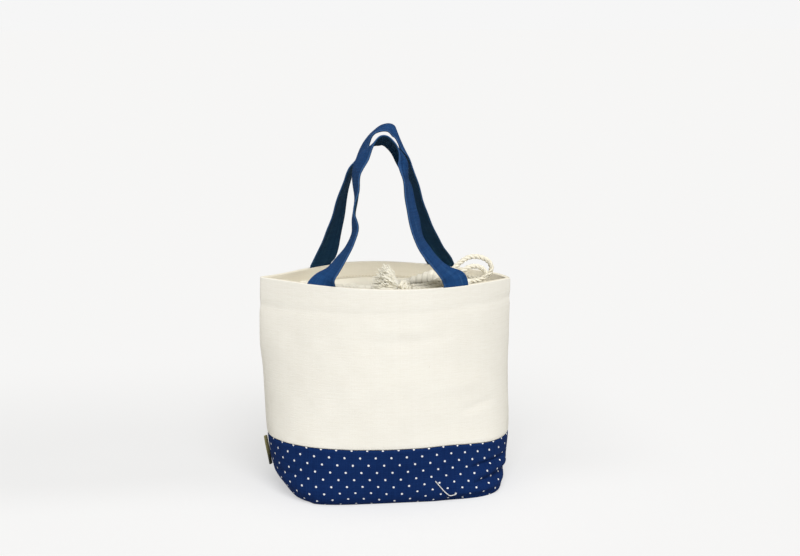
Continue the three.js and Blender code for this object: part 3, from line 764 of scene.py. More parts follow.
# %% Stitches as a Geometry Nodes tree
def make_stitch_row():
    """Short rounded stitches spaced along lines, each lying along its line."""
    inputs = [("Line", "Geometry"), ("Spacing", "Float"), ("Stitch Length", "Float")]
    inputs += [("Thread Radius", "Float"), ("Material", "Material")]
    tree, add, given, result = new_group("stitch_row", "GeometryNodeTree", inputs, [("Stitches", "Geometry")])
    line = add("GeometryNodeMeshToCurve", {0: given["Line"]})
    line = add("GeometryNodeResampleCurve", {"Curve": line, "Length": given["Spacing"]}, mode="LENGTH")
    bead = add("GeometryNodeMeshUVSphere", {"Segments": 6, "Rings": 4, "Radius": 1.0})
    tangent = add("GeometryNodeInputTangent")
    turned = add("FunctionNodeAlignRotationToVector", {"Vector": tangent}, axis="Z")
    half = add.math("MULTIPLY", given["Stitch Length"], 0.5)
    size = add("ShaderNodeCombineXYZ", {0: given["Thread Radius"], 1: given["Thread Radius"], 2: half})
    sockets = {"Points": line, "Instance": bead.outputs["Mesh"], "Rotation": turned, "Scale": size}
    hand_out(add, add("GeometryNodeInstanceOnPoints", sockets), given, result)
    return tree


# %% Running a tree on a line
def line_mesh(name, lines):
    """A mesh of joined edges through each list of points, in metres."""
    points, edges = [], []
    for line in lines:
        edges += [(len(points) + k, len(points) + k + 1) for k in range(len(line) - 1)]
        points += [tuple(p) for p in line]
    mesh = bpy.data.meshes.new(name)
    mesh.from_pydata(points, edges, [])
    return mesh


def grow(name, mesh, tree, **inputs):
    """Runs a Geometry Nodes tree on a mesh and keeps the result as a plain mesh object."""
    seed = bpy.data.objects.new(name + "_seed", mesh)
    bpy.context.collection.objects.link(seed)
    modifier = seed.modifiers.new("grow", "NODES")
    modifier.node_group = tree
    for key, value in inputs.items():
        modifier[tree.interface.items_tree[key.replace("_", " ")].identifier] = value
    evaluated = seed.evaluated_get(bpy.context.evaluated_depsgraph_get())
    grown = bpy.data.meshes.new_from_object(evaluated)
    seed.modifiers.clear()
    bpy.data.objects.remove(seed)
    piece = bpy.data.objects.new(name, grown)
    bpy.context.collection.objects.link(piece)
    print(f"{name}: {len(grown.polygons)} faces")
    return piece


LAID_ROPE = make_laid_rope()
STITCH_ROW = make_stitch_row()


# %% [markdown]
# ## The drawstring
#
# One cotton rope, 5 mm thick, runs in the hem of the collar. Both ends come out at the right, loop over
# the end of the mouth and meet in a knot. The points of its two free strands are those of the CAD route.


# %% Smooth line through points
def smooth_line(points, shares):
    """A centripetal Catmull-Rom curve through the points, at shares from 0 to 1 of its run."""
    points = np.array(points, float)
    ends = [2 * points[0] - points[1], *points, 2 * points[-1] - points[-2]]
    spans = len(points) - 1
    made = []
    for share in np.atleast_1d(shares):
        k = min(int(share * spans), spans - 1)
        t = share * spans - k
        p0, p1, p2, p3 = ends[k : k + 4]
        steps = (p1 - p0, p2 - p1, p3 - p2)
        d0, d1, d2 = (max(np.linalg.norm(step), 1e-9) ** 0.5 for step in steps)
        m1 = ((p1 - p0) / d0 - (p2 - p0) / (d0 + d1) + (p2 - p1) / d1) * d1
        m2 = ((p2 - p1) / d1 - (p3 - p1) / (d1 + d2) + (p3 - p2) / d2) * d1
        rise = p2 - p1
        made.append(p1 + m1 * t + (3 * rise - 2 * m1 - m2) * t**2 + (m1 + m2 - 2 * rise) * t**3)
    return np.array(made)


def length_of(line):
    """Length of a line through points."""
    return float(np.linalg.norm(np.diff(line, axis=0), axis=1).sum())


# %% Rope strands
PLY_RADIUS = 0.00122
LAY_RADIUS = 0.00128
LAY_LENGTH = 0.0135
UPPER_ROUTE = [
    (0.0771, 0.0068, 0.1964),
    (0.0776, 0.0038, 0.1963),
    (0.0825, 0.0003, 0.1956),
    (0.0900, -0.0008, 0.1953),
    (0.0975, -0.0012, 0.1980),
    (0.1013, -0.0016, 0.2045),
    (0.0985, -0.0026, 0.2115),
    (0.0900, -0.0035, 0.2163),
    (0.0790, -0.0042, 0.2165),
    (0.0680, -0.0065, 0.2105),
    (0.0595, -0.0105, 0.2035),
    (0.0490, -0.0145, 0.1975),
    (0.0370, -0.0180, 0.1942),
    (0.0280, -0.0206, 0.1938),
    (0.0219, -0.0214, 0.1939),
]
LOWER_ROUTE = [
    (0.0766, -0.0125, 0.1946),
    (0.0768, -0.0098, 0.1945),
    (0.0820, -0.0078, 0.1943),
    (0.0890, -0.0082, 0.1956),
    (0.0942, -0.0088, 0.1993),
    (0.0925, -0.0093, 0.2050),
    (0.0860, -0.0098, 0.2086),
    (0.0780, -0.0108, 0.2084),
    (0.0700, -0.0133, 0.2042),
    (0.0620, -0.0175, 0.1994),
    (0.0510, -0.0213, 0.1950),
    (0.0380, -0.0248, 0.1928),
    (0.0280, -0.0270, 0.1925),
    (0.0219, -0.0275, 0.1926),
]


def laid_rope(name, lines, thickness=1.0, step=0.0009, sides=10):
    """The bag's rope of three plies along each line."""
    sizes = {"Plies": 3, "Ply_Radius": PLY_RADIUS * thickness, "Lay_Radius": LAY_RADIUS * thickness}
    sizes |= {"Lay_Length": LAY_LENGTH * thickness, "Step": step, "Sides": sides}
    return grow(name, line_mesh(name, lines), LAID_ROPE, Material=cotton_rope, **sizes)


upper_line = smooth_line(UPPER_ROUTE, np.linspace(0, 1, 160))
lower_line = smooth_line(LOWER_ROUTE, np.linspace(0, 1, 150))
upper_strand = laid_rope("rope_upper_strand", [upper_line])
lower_strand = laid_rope("rope_lower_strand", [lower_line])
print("strand lengths, m:", round(length_of(upper_line), 4), round(length_of(lower_line), 4))


# %% [markdown]
# ## The drawn mouth
#
# The rope's casing follows a flattened ring inside the rim. Where the rope leaves, at the right, the
# collar is pulled up, and beside it a fat fold of gathers stands up as a lobe. The rear casing is
# slack: it lies lower and nearer the front, so the cloth between it and the rear wall is seen from
# above.

# %% Mouth line and the rope inside its casing
MOUTH = {"x": 2, "y": -3, "z": RIM - 10, "half_length": 80, "half_width": 32}
EXIT_ANGLE = 0.36
ROPE_PROUD = 0.03  # how far the rope goes on past each end of the casing, as an angle
RUFFLE = 1.6
WAVE = 1.2
PULLED_UP = 11  # how far the rope lifts the casing where it leaves
LOBE_ANGLE, LOBE_RISE = 0.85, 4
SLACK_ANGLE, SLACK_WIDTH = 1.95, 0.55  # behind the middle
SLACK_FORWARD, SLACK_DOWN = 18, 4.5


def mouth(angle):
    """Middle of the casing at these angles."""
    angle = np.asarray(angle, float)
    ruffle = RUFFLE * np.sin(9 * angle + 0.6)
    lobe = LOBE_RISE * bump(angle, LOBE_ANGLE, 0.25)
    pulled_up = PULLED_UP * bump(np.sin(angle / 2), 0, 0.3)
    slack = bump(angle, SLACK_ANGLE, SLACK_WIDTH)
    x = MOUTH["x"] + (MOUTH["half_length"] + ruffle) * np.cos(angle)
    y = MOUTH["y"] + (MOUTH["half_width"] + ruffle) * np.sin(angle) - SLACK_FORWARD * slack
    z = MOUTH["z"] + WAVE * np.sin(7 * angle) + lobe + pulled_up
    z = z - RIM_DROP / 2 * x / HALF_WIDTH - SLACK_DOWN * slack
    return np.stack([x, y, z], axis=-1)


casing_ends = (EXIT_ANGLE - ROPE_PROUD, 2 * math.pi - EXIT_ANGLE + ROPE_PROUD)
casing_line = mouth(np.linspace(*casing_ends, 420)) * MM
casing_rope = laid_rope("rope_in_casing", [casing_line], step=0.0013, sides=8)


# %% Knot
KNOT_FROM = np.array([20.6, -24.5, 193])
KNOT_TO = np.array([8.5, -24, 194.4])
KNOT_TURNS = 1.75  # how often the winding goes round the two rope ends
KNOT_RADIUS = 4.7
KNOT_REACH = 12.6


def axes_of(start, end):
    """Unit directions: along from start to end, level sideways, and upward across both."""
    along = (end - start) / np.linalg.norm(end - start)
    side = np.cross(along, [0, 0, 1])
    side /= np.linalg.norm(side)
    return along, side, np.cross(side, along)


def knot_lines():
    """A winding, one strand that crosses over it, and the two rope ends through the middle."""
    axes = axes_of(KNOT_FROM, KNOT_TO)

    def line(*reaches):
        """A line in the knot from how far it reaches along, sideways and up."""
        points = KNOT_FROM
        for reach, axis in zip(reaches, axes):
            points = points + reach * axis
        return points * MM

    turn = np.linspace(-0.4, 2 * math.pi * KNOT_TURNS, 110)[:, None]
    radius = KNOT_RADIUS + 0.25 * np.sin(3 * turn)
    climb = 2.6 + 6.8 * np.linspace(0, 1, 110)[:, None] + 1.1 * np.sin(turn)
    winding = line(climb, radius * np.cos(turn), radius * np.sin(turn))
    t = np.linspace(0, 1, 40)[:, None]
    bridge = line(1.6 + 9.2 * t, 4.9 - 9.8 * t, 3.9 * np.sin(math.pi * t) + 1.2)
    cores = [line(KNOT_REACH * t, sign * (2.6 - 0.8 * t)) for sign in (-1, 1)]
    return [winding, bridge, *cores]


knot = laid_rope("rope_knot", knot_lines(), thickness=0.9, sides=9)


# %% [markdown]
# ## The frayed tuft
#
# Past the knot both rope ends are untwisted, and their yarns fan out. Geometry Nodes scatter roots on a
# small disc, grow a line from each, bend the lines outward and crimp them, as yarns that were once
# twisted stay crimped. Thick yarns give the tuft its body, and hair-thin fibres between them its soft
# edge.


# %% Frayed yarns as a Geometry Nodes tree
def scattered_yarns(add, given):
    """Straight yarns from roots scattered on the disc, with each root's place and a chance of its own."""
    sockets = {"Mesh": given["Disc"], "Density": given["Density"], "Seed": given["Seed"]}
    roots = add("GeometryNodeDistributePointsOnFaces", sockets)
    kept = add("GeometryNodeCaptureAttribute", {"Geometry": roots.outputs["Points"]})
    kept.capture_items.new("VECTOR", "outward")
    from_centre = add.vector("SUBTRACT", add("GeometryNodeInputPosition"), given["Centre"])
    add.join(from_centre, kept.inputs["outward"])
    kept.capture_items.new("FLOAT", "own")
    chance = add("FunctionNodeRandomValue", {2: 0.0, 3: 1.0, "Seed": given["Seed"]}, data_type="FLOAT")
    add.join(chance, kept.inputs["own"])
    line = add("GeometryNodeCurvePrimitiveLine", {1: (0, 0, 1)})
    yarn = add("GeometryNodeResampleCurve", {"Curve": line, "Count": 14})
    stretch = add.math("MULTIPLY", given["Length"], add.math("MULTIPLY_ADD", chance, 0.5, 0.6))
    scale = add("ShaderNodeCombineXYZ", {0: 1.0, 1: 1.0, 2: stretch})
    sockets = {"Points": kept.outputs["Geometry"], "Instance": yarn}
    sockets |= {"Rotation": roots.outputs["Rotation"], "Scale": scale}
    placed = add("GeometryNodeInstanceOnPoints", sockets)
    yarns = add("GeometryNodeRealizeInstances", {0: placed})
    return yarns, kept.outputs["outward"], kept.outputs["own"]


def crimp_of(add, given, outward, own, factor):
    """The wavy offset that a yarn keeps from its twist. It grows from nothing at the root."""
    place = add.scaled(add("GeometryNodeInputPosition"), 120.0)
    place = add.vector("ADD", place, add.scaled(outward, 900.0))
    lone = add("ShaderNodeCombineXYZ", {0: add.math("MULTIPLY", own, 40.0)})
    place = add.vector("ADD", place, lone)
    noise = add("ShaderNodeTexNoise", {"Vector": place, "Scale": 1.0, "Detail": 1.0})
    centred = add.vector("SUBTRACT", noise.outputs["Color"], (0.5, 0.5, 0.5))
    return add.scaled(centred, add.math("MULTIPLY", factor, given["Crimp"]))


def yarn_tubes(add, given, lines, factor):
    """Tubes that thin out towards their tips, with the place that the rope material reads."""
    along = add("GeometryNodeCaptureAttribute", {"Geometry": lines})
    along.capture_items.new("FLOAT", "along")
    add.join(add("GeometryNodeSplineParameter").outputs["Length"], along.inputs["along"])
    ring = add("GeometryNodeCurvePrimitiveCircle", {"Resolution": 6, "Radius": given["Radius"]})
    thinner = add.math("MULTIPLY", add.math("POWER", factor, 3.0), 0.45)
    taper = add.math("SUBTRACT", 1.0, thinner)
    sockets = {"Curve": along.outputs["Geometry"], "Profile Curve": ring, "Scale": taper, "Fill Caps": True}
    tube = add("GeometryNodeCurveToMesh", sockets)
    spot = add.vector("MULTIPLY", add("GeometryNodeInputPosition"), (1.0, 1.0, 0.0))
    upward = add("ShaderNodeCombineXYZ", {2: along.outputs["along"]})
    return with_ply_place(add, tube, add.vector("ADD", spot, upward))


def make_frayed_yarns():
    """Loose yarns that fan out from a disc and stay crimped."""
    inputs = [("Disc", "Geometry"), ("Density", "Float"), ("Length", "Float"), ("Radius", "Float")]
    inputs += [("Spread", "Float"), ("Crimp", "Float"), ("Centre", "Vector"), ("Seed", "Int")]
    inputs += [("Material", "Material")]
    outputs = [("Yarns", "Geometry")]
    tree, add, given, result = new_group("frayed_yarns", "GeometryNodeTree", inputs, outputs)
    yarns, outward, own = scattered_yarns(add, given)
    factor = add("GeometryNodeSplineParameter").outputs["Factor"]
    fan = add.math("MULTIPLY", add.math("POWER", factor, 0.85), given["Spread"])
    bend = add.vector("ADD", add.scaled(outward, fan), crimp_of(add, given, outward, own, factor))
    bent = add("GeometryNodeSetPosition", {"Geometry": yarns, "Offset": bend})
    hand_out(add, yarn_tubes(add, given, bent, factor), given, result)
    return tree


FRAYED_YARNS = make_frayed_yarns()


def disc_mesh(centre, direction, radius, sides=24):
    """A small disc that faces a direction, given in millimetres."""
    along, side, up = axes_of(np.array(centre), np.array(centre) + direction)
    turn = np.linspace(0, 2 * math.pi, sides, endpoint=False)[:, None]
    points = (np.array(centre) + radius * (np.cos(turn) * side + np.sin(turn) * up)) * MM
    mesh = bpy.data.meshes.new("disc")
    mesh.from_pydata([tuple(p) for p in points], [], [tuple(range(sides))])
    if mesh.polygons[0].normal.dot(Vector(along)) < 0:
        mesh.flip_normals()
    return mesh


# %% Tuft of yarns and fine fibres
TUFT_FROM = np.array([6.5, -24, 194.6])
TUFT_TO = np.array([-13, -26, 202.5])
TUFT_RADIUS = 3.6  # of the disc that the yarns grow from


def tuft_piece(name, count, length, radius, spread, crimp, seed):
    """Loose yarns past the knot, with lengths in millimetres."""
    density = count / (math.pi * (TUFT_RADIUS * MM) ** 2)
    disc = disc_mesh(TUFT_FROM, TUFT_TO - TUFT_FROM, TUFT_RADIUS)
    sizes = {"Density": density, "Length": length * MM, "Radius": radius * MM}
    sizes |= {"Spread": spread, "Crimp": crimp * MM, "Centre": tuple(TUFT_FROM * MM), "Seed": seed}
    return grow(name, disc, FRAYED_YARNS, Material=loose_cotton, **sizes)


YARNS = {"count": 200, "length": 18, "radius": 0.9, "spread": 3.3, "crimp": 9, "seed": 7}
FIBRES = {"count": 150, "length": 20, "radius": 0.16, "spread": 3.8, "crimp": 14, "seed": 9}
tuft_yarns = tuft_piece("rope_tuft_yarns", **YARNS)
tuft_fibres = tuft_piece("rope_tuft_fibres", **FIBRES)

# %% [markdown]
# ## Canvas panels and their rim facing
#
# The outer panel goes from the rim to the dotted base, where its seam allowance tucks in behind. At the
# rim the cloth turns over, so the edge is rounded. The facing inside is the hem: it hides the strap
# ends.

# %% Panels
SEAM_STOP = 0.003
HALF = {
    "front": (math.pi + SEAM_STOP, 2 * math.pi - SEAM_STOP),
    "back": (SEAM_STOP, math.pi - SEAM_STOP),
}


def panel_section():
    """Outside, rounded rim, inside, and the allowance that tucks in behind the base wrap."""
    foot = BAND + 0.3
    outside = [(0, z) for z in heights(foot + 0.8, RIM - 0.9, 78)]
    inside = [(CANVAS, z) for z in heights(RIM - 0.9, foot + 2.6, 24)]
    top = rounded((0, RIM - 0.8), (0.02, RIM + 0.1), (0.5, RIM))
    top += rounded((0.55, RIM), (0.98, RIM + 0.1), (CANVAS, RIM - 0.8))
    allowance = [(2.6, foot + 2), (2.6, BAND - 8), (1.6, BAND - 8), (1.6, foot - 0.2)]
    hem = rounded((1.5, foot), (0.05, foot), (0, foot + 0.75))
    return [*outside, *top, *inside, *allowance, *hem]


def body_panel(side):
    """One natural canvas panel, from side seam to side seam."""
    angles = columns(*HALF[side], 190)
    grid = swept(panel_section(), angles)
    return cloth_piece(f"{side}_canvas_panel", [(grid, cloth_uv(grid))], natural_canvas)


panels = {side: body_panel(side) for side in HALF}

# %% Rim facings
FEET = {"front": (-65.5, 60), "rear": (-58.5, 63.5)}


def foot_angles(x, rear, count):
    """Angles across a strap end, so that it covers its width along the rim."""
    middle = rim_angle(x, rear)
    trail = {}
    for direction in (-1, 1):
        angle, length = middle, 0.0
        while length < STRAP_WIDTH / 2:
            here = wall(angle, RIM, STRAP_INSET)
            angle += direction * 0.002
            length += float(np.linalg.norm(wall(angle, RIM, STRAP_INSET) - here))
        trail[direction] = angle
    return np.linspace(trail[-1], trail[1], count)


def rim_facing(side):
    """The hem inside the rim. It lies against the canvas, and steps inward over the strap ends."""
    rear = side == "back"
    feet = [foot_angles(x, rear, 5) for x in FEET["rear" if rear else "front"]]
    angles = columns(*HALF[side], 230)
    near, clear = 0.02, 0.045  # angles past a strap's edge over which the facing comes back out
    at_strap = 0
    for foot in feet:
        begun = ease(angles, foot[0] - clear, foot[0] - near)
        at_strap = at_strap + begun * (1 - ease(angles, foot[-1] + near, foot[-1] + clear))
    outer = STRAP_INSET + (FACING_INSET - STRAP_INSET) * at_strap
    inner = FACING_INSET + CANVAS
    low = RIM - FACING_DEPTH
    rows = []
    for start in outer:
        section = rounded((start, RIM - 0.7), (start, RIM - 0.05), (start + 0.4, RIM - 0.05))
        section += rounded((inner - 0.6, RIM), (inner, RIM), (inner, RIM - 0.7))
        section += [(inner, z) for z in heights(RIM - 1.4, low + 0.8, 22)]
        section += rounded((inner, low + 0.6), (inner, low), (inner - 0.5, low))
        section += [(FACING_INSET, low + 0.1), (FACING_INSET, RIM - 8.4), (start, RIM - 8)]
        rows.append([*section, section[0]])
    rows = np.array(rows)
    grid = cloth_wall(angles[:, None], rows[:, :, 1], rows[:, :, 0])
    return cloth_piece(f"{side}_rim_hem", [(grid, cloth_uv(grid))], shaded_canvas_inside)


facings = {side: rim_facing(side) for side in HALF}


# %% [markdown]
# ## The dotted base wrap
#
# One cup of navy cloth: up the outside, over its top edge, and down the inside. The walls' UV runs
# along the cloth from the middle of the front and of the rear. The bottom continues it straight across,
# as one cut of cloth does, so the rows of dots run on under the bag.


# %% Base wrap
def bottom_grid(angles, z, inset, count, start):
    """The flat bottom from its edge to the line between the side seams. Its UV goes on from the wall's."""
    edge = cloth_wall(angles, z, inset)
    shares = np.linspace(0, 1, count)[None, :, None]
    middle = edge * [1, 0, 1]
    middle[:, 1] = 0
    grid = edge[:, None] * (1 - shares) + middle[:, None] * shares
    inward = np.linalg.norm(grid - edge[:, None], axis=-1)
    uv = np.stack([grid[..., 0] * MM, start[:, None] - inward * MM], axis=-1)
    return grid, uv


def base_wrap():
    """Two halves, each up the outside, over the top edge and down the inside, on a bottom of two layers."""
    grids = []
    outside = [0, 0.4, 1.2, 2.4, *heights(4, BAND - 1.4, 44), *heights(BAND - 1.0, BAND - 0.4, 3)]
    turned = rounded((0, BAND - 0.5), (0, BAND), (0.4, BAND))
    turned += rounded((0.6, BAND), (CANVAS, BAND), (CANVAS, BAND - 0.5))
    inside = heights(BAND - 1, 1.2, 14)
    section = np.array([*[(0, z) for z in outside], *turned[1:], *[(CANVAS, z) for z in inside]], float)
    top_row = len(outside) + 3
    for start in (math.pi, 0):
        angles = low_columns(start, start + math.pi, 210)
        grid = cloth_wall(angles[:, None], section[None, :, 1], section[None, :, 0])
        uv = cloth_uv(grid)
        uv[..., 1] -= uv[:, [top_row], 1]
        grids.append((grid, uv))
        for row in (0, -1):
            inset, z = section[row]
            grids.append(bottom_grid(angles, z, inset, 22, uv[:, row, 1]))
    return cloth_piece("dotted_wrap", grids, dotted_cloth, weld=4e-6)


wrap = base_wrap()


# %% [markdown]
# ## Lining
#
# The lining is a loose cotton bag inside the canvas one. It is only seen through the drawn mouth, so a
# thin shell with a few soft folds is enough.


# %% Lining walls and floor
LINING_THICKNESS = 0.6


def lining_wall(side):
    """One half of the loose inner bag, with soft upright folds between its foot and its seam."""
    top, foot = RIM - FACING_DEPTH - 0.3, 2.3
    angles = low_columns(*HALF[side], 110)
    rows = [(FACING_INSET, z) for z in heights(foot, top, 50)]
    rows += [(FACING_INSET + LINING_THICKNESS, z) for z in heights(top, foot, 50)]
    loop = np.array([*rows, rows[0]])
    points = wall(angles[:, None], loop[None, :, 1], 0)
    z = points[..., 2]
    folds = 0.8 * ripple(points * [1, 1, 0.35], 34, 11) * ease(z, 10, 50) * (1 - ease(z, 165, 182))
    grid = wall(angles[:, None], loop[None, :, 1], loop[None, :, 0] + 0.8 + folds)
    return cloth_piece(f"{side}_cotton_lining", [(grid, cloth_uv(grid))], thin_cotton)


def lining_floor():
    """Two layers from the middle to the wall, closed by a rim."""
    angles = np.linspace(0, 2 * math.pi, 121)
    shares = np.linspace(0, 1, 26)
    layers = []
    for z in (1.3, 1.9):
        edge = wall(angles, z, FACING_INSET + 0.3)
        grid = edge[:, None] * shares[None, :, None]
        grid[..., 2] = z + (0.35 + 0.3 * ripple(grid, 22, 8)) * (1 - shares**3)
        layers.append(grid)
    rim = np.stack([layers[0][:, -1], layers[1][:, -1]], axis=1)
    grids = [(g, g[..., :2] * MM) for g in (*layers, rim)]
    return cloth_piece("cotton_lining_floor", grids, thin_cotton)


linings = {side: lining_wall(side) for side in HALF}
floor_cloth = lining_floor()

# %% [markdown]
# ## The gathered collar
#
# Each half of the collar is one sheet of thin cotton: sewn under the facing, hanging in to the mouth,
# and turned over the rope as a casing. Drawing the rope crowds the cloth into gathers that are deep at
# the casing and fade towards the wall. Two wavelengths are blended so that pairs of small folds join
# into larger ones on the way.

# %% Collar
CASING_RADIUS = 3.1
COLLAR_THICKNESS = 0.4
CURL = (-1.4, -6.7)  # angles round the rope between which the casing is curled
COLLAR_ENDS = {"front": (HALF["front"][0], 2 * math.pi - EXIT_ANGLE), "back": (EXIT_ANGLE, HALF["back"][1])}
FINE_GATHERS, BROAD_GATHERS = 27, 12
FINE_DEPTH, BROAD_DEPTH = 1.1, 1.4
PUCKER = 0.28  # how deep the fine gathers are on the casing
SAG = 1.2
LOBE_GIRTH = 4  # how much fatter the bunched casing is in the middle of the lobe
GATHER_ROWS = 22


def gather(run, count, seed):
    """An uneven train of folds along a share from 0 to 1."""
    wander = 0.55 * np.sin(5.3 * run + seed) + 0.4 * np.sin(11.7 * run + 2 * seed)
    wave = np.sin(2 * math.pi * count * run + 3 * wander)
    return wave + 0.35 * np.sin(2 * math.pi * count * 1.9 * run + 2 * wander + seed)


def collar_lines(side):
    """Lines along the seam, from the facing down to the mouth and round the rope."""
    angles = np.linspace(*COLLAR_ENDS[side], 520)
    centre = mouth(angles)
    seam = wall(angles, RIM - FACING_DEPTH + 1, COLLAR_INSET)
    outward = (seam - centre) * [1, 1, 0]
    outward /= np.linalg.norm(outward, axis=-1, keepdims=True)
    up = np.array([0, 0, 1])
    run = np.concatenate([[0], np.cumsum(np.linalg.norm(np.diff(centre, axis=0), axis=1))])
    run /= run[-1]
    fine, broad = gather(run, FINE_GATHERS, 1.3), gather(run, BROAD_GATHERS, 4.1)
    bunched = LOBE_GIRTH * bump(angles, LOBE_ANGLE, 0.27)

    def ring(turn, radius):
        """The line at one angle round the rope."""
        radius = np.asarray(radius + bunched * (1 + 0.04 * fine + 0.08 * broad))[:, None]
        return centre + radius * math.cos(turn) * outward + radius * math.sin(turn) * up

    lines = []
    foot = ring(CURL[0], CASING_RADIUS + PUCKER * fine)
    for share in np.linspace(0, 1, GATHER_ROWS)[:-1]:
        sag = -SAG * 4 * share * (1 - share)
        depth = ease(share, 0.0, 0.9)
        lift = FINE_DEPTH * depth * fine * share
        lift = lift + BROAD_DEPTH * math.sin(math.pi * share) * broad * depth
        lines.append(seam + (foot - seam) * share + np.multiply.outer(sag + lift, up))
    for turn in np.linspace(*CURL, 26):
        away = math.sin((turn - CURL[0]) / (CURL[1] - CURL[0]) * math.pi)
        lines.append(ring(turn, CASING_RADIUS + (PUCKER + 0.2 * away) * fine))
    return lines


def collar(side):
    """One half of the collar, as thin as its cotton."""
    grid = np.stack(collar_lines(side), axis=1)
    uv = cloth_uv(grid)
    piece = cloth_piece(f"{side}_cotton_collar", [(grid, uv)], thin_cotton, fill=False)
    thick = piece.modifiers.new("thickness", "SOLIDIFY")
    thick.thickness = COLLAR_THICKNESS * MM
    thick.offset = 0
    return piece


collars = {side: collar(side) for side in HALF}

# %% [markdown]
# ## Strap handles
#
# A handle is one folded strap. Both ends go down between canvas and facing, and the free loop rises
# from them, twisting as it goes: its legs turn nearly edge-on, and over the top it is folded over and
# cupped. The sweep keeps near the CAD route, with rounded folded edges, two sunk lines where the edges
# are stitched down, and soft waves.

# %% Strap routes
STEPS_PER_POINT = 2
FOOT_RINGS = 6
LOOP_LIFT = 0.4
TAIL_DEPTH = 20
TAIL_RINGS = 12
ROUTES = {
    # x, y, height above the rim, and the turn of the strap's width and its lean out of level, in degrees
    "front": [
        (-60, -43.5, 9.5, -61, -3),
        (-52, -41.5, 16.5, -72, 6),
        (-44, -39, 27, -81, 7),
        (-37, -36.5, 37, -83, 10),
        (-32, -34, 49, -85, 20),
        (-32.5, -31, 63, -93, 26),
        (-29.5, -28, 80, -92, 28),
        (-29.5, -25, 99, -80, 20),
        (-22.5, -22, 115.5, -62, 16),
        (-10, -19.5, 128, -86, 25),
        (-3, -19, 129, -94, 23),
        (5, -19.5, 123, -95, 24),
        (13, -21, 110.5, -98, 22),
        (15.5, -24.5, 97.5, -108, 9),
        (18, -29, 76.5, -113, -4),
        (22, -33, 57.5, -114, -8),
        (28, -36.5, 36.5, -112, -3),
        (39.5, -41, 21, -121, 5),
        (47.5, -43.5, 12.5, -129, 5),
        (56.5, -45.5, 5.5, -151, -6),
    ],
    "rear": [
        (-52.5, 41, 12, 35, -2),
        (-46.5, 36, 31, 47, 1),
        (-43.5, 32, 45, 55, 1),
        (-40.5, 28.5, 58, 59, 1),
        (-37, 24, 74.5, 68, -2),
        (-32.3, 20, 88.5, 73, -8),
        (-28.2, 16, 102.5, 78, -10),
        (-17.5, 13, 118.5, 98, 0),
        (-9, 11, 133, 83, -4),
        (2.5, 10, 137.7, 90, 8),
        (10, 10, 134.7, 91, 28),
        (16, 11, 123.5, 94, 29),
        (20, 13.5, 115, 98, 12),
        (25, 17, 100.5, 99, 8),
        (30.5, 22, 78.5, 108, 4),
        (35.8, 27, 58, 115, 3),
        (44, 33.5, 36, 124, 1),
        (52, 39.5, 19, 137, -4),
        (58.5, 44.5, 7, 151, -8),
    ],
}
print("strap route points:", {name: len(route) for name, route in ROUTES.items()})


# %% Strap frame along its route
def foot_frame(x, rear, flip):
    """Middle, width direction and thickness direction where the strap leaves the rim."""
    angles = foot_angles(x, rear, 5)
    inset = STRAP_INSET + STRAP_THICKNESS / 2
    centre = wall(angles[2], RIM, inset, LOOP_LIFT)
    across = wall(angles[-1], RIM, inset) - wall(angles[0], RIM, inset)
    across /= np.linalg.norm(across) * (-1 if flip else 1)
    through = np.cross([0, 0, 1], across)
    return centre, across, through / np.linalg.norm(through)


def heading(direction):
    """Which way a direction points when seen from above, in degrees."""
    return math.degrees(math.atan2(direction[1], direction[0]))


def route_angles(name, start, finish):
    """Turn and lean of the strap's width at the points of its route and at both feet, in degrees."""
    back = heading(-finish[1])
    last = 180 + back if name == "rear" else back - 180
    turns = [heading(start[1]), *[row[3] for row in ROUTES[name]], last]
    leans = [0, *[row[4] for row in ROUTES[name]], 0]
    return turns, leans


def softened(degrees, shares, fineness):
    """Degrees at the route's points as radians at every ring, without sudden changes."""
    kernel = np.hanning(2 * fineness + 3)
    spread = np.radians(np.interp(shares * (len(degrees) - 1), np.arange(len(degrees)), degrees))
    padded = np.pad(spread, len(kernel) // 2, mode="edge")
    return np.convolve(padded, kernel / kernel.sum(), mode="valid")


def of_unit_length(directions):
    return directions / np.linalg.norm(directions, axis=1, keepdims=True)


def loop_frames(name, fineness=5):
    """Middle, width direction and thickness direction at each ring of the free loop."""
    rear = name == "rear"
    left, right = FEET[name]
    start = foot_frame(left, rear, rear)
    finish = foot_frame(right, rear, not rear)
    line = [start[0], *[np.array([x, y, RIM + rise]) for x, y, rise, _, _ in ROUTES[name]], finish[0]]
    coarse = (len(line) - 1) * STEPS_PER_POINT
    shares = np.linspace(0, 1, coarse * fineness + 1)
    middles = smooth_line(line, shares)
    tangents = of_unit_length(np.gradient(middles, axis=0))
    turn, lean = (softened(degrees, shares, fineness) for degrees in route_angles(name, start, finish))
    across = np.stack([np.cos(lean) * np.cos(turn), np.cos(lean) * np.sin(turn), np.sin(lean)], axis=1)
    k = shares * coarse
    square = np.minimum(1, np.minimum(k / FOOT_RINGS, (coarse - k) / FOOT_RINGS))[:, None]
    across -= square * (across * tangents).sum(1, keepdims=True) * tangents
    across = of_unit_length(across)
    through = of_unit_length(np.cross(tangents, across))
    across[0], through[0] = start[1:]
    across[-1], through[-1] = finish[1], -finish[2]
    for end, step in ((0, 1), (-1, -1)):
        for j in range(1, 2 * fineness):
            t = j / (2 * fineness)
            blended = through[end] * (1 - t) + through[end + step * j] * t
            through[end + step * j] = blended / np.linalg.norm(blended)
    return middles, across, through


# %% Strap cross-section and tails
STITCH_LINE = 11.2  # distance of the stitching from the middle of the strap
SUNK = 0.28  # how far the stitching draws the cloth in


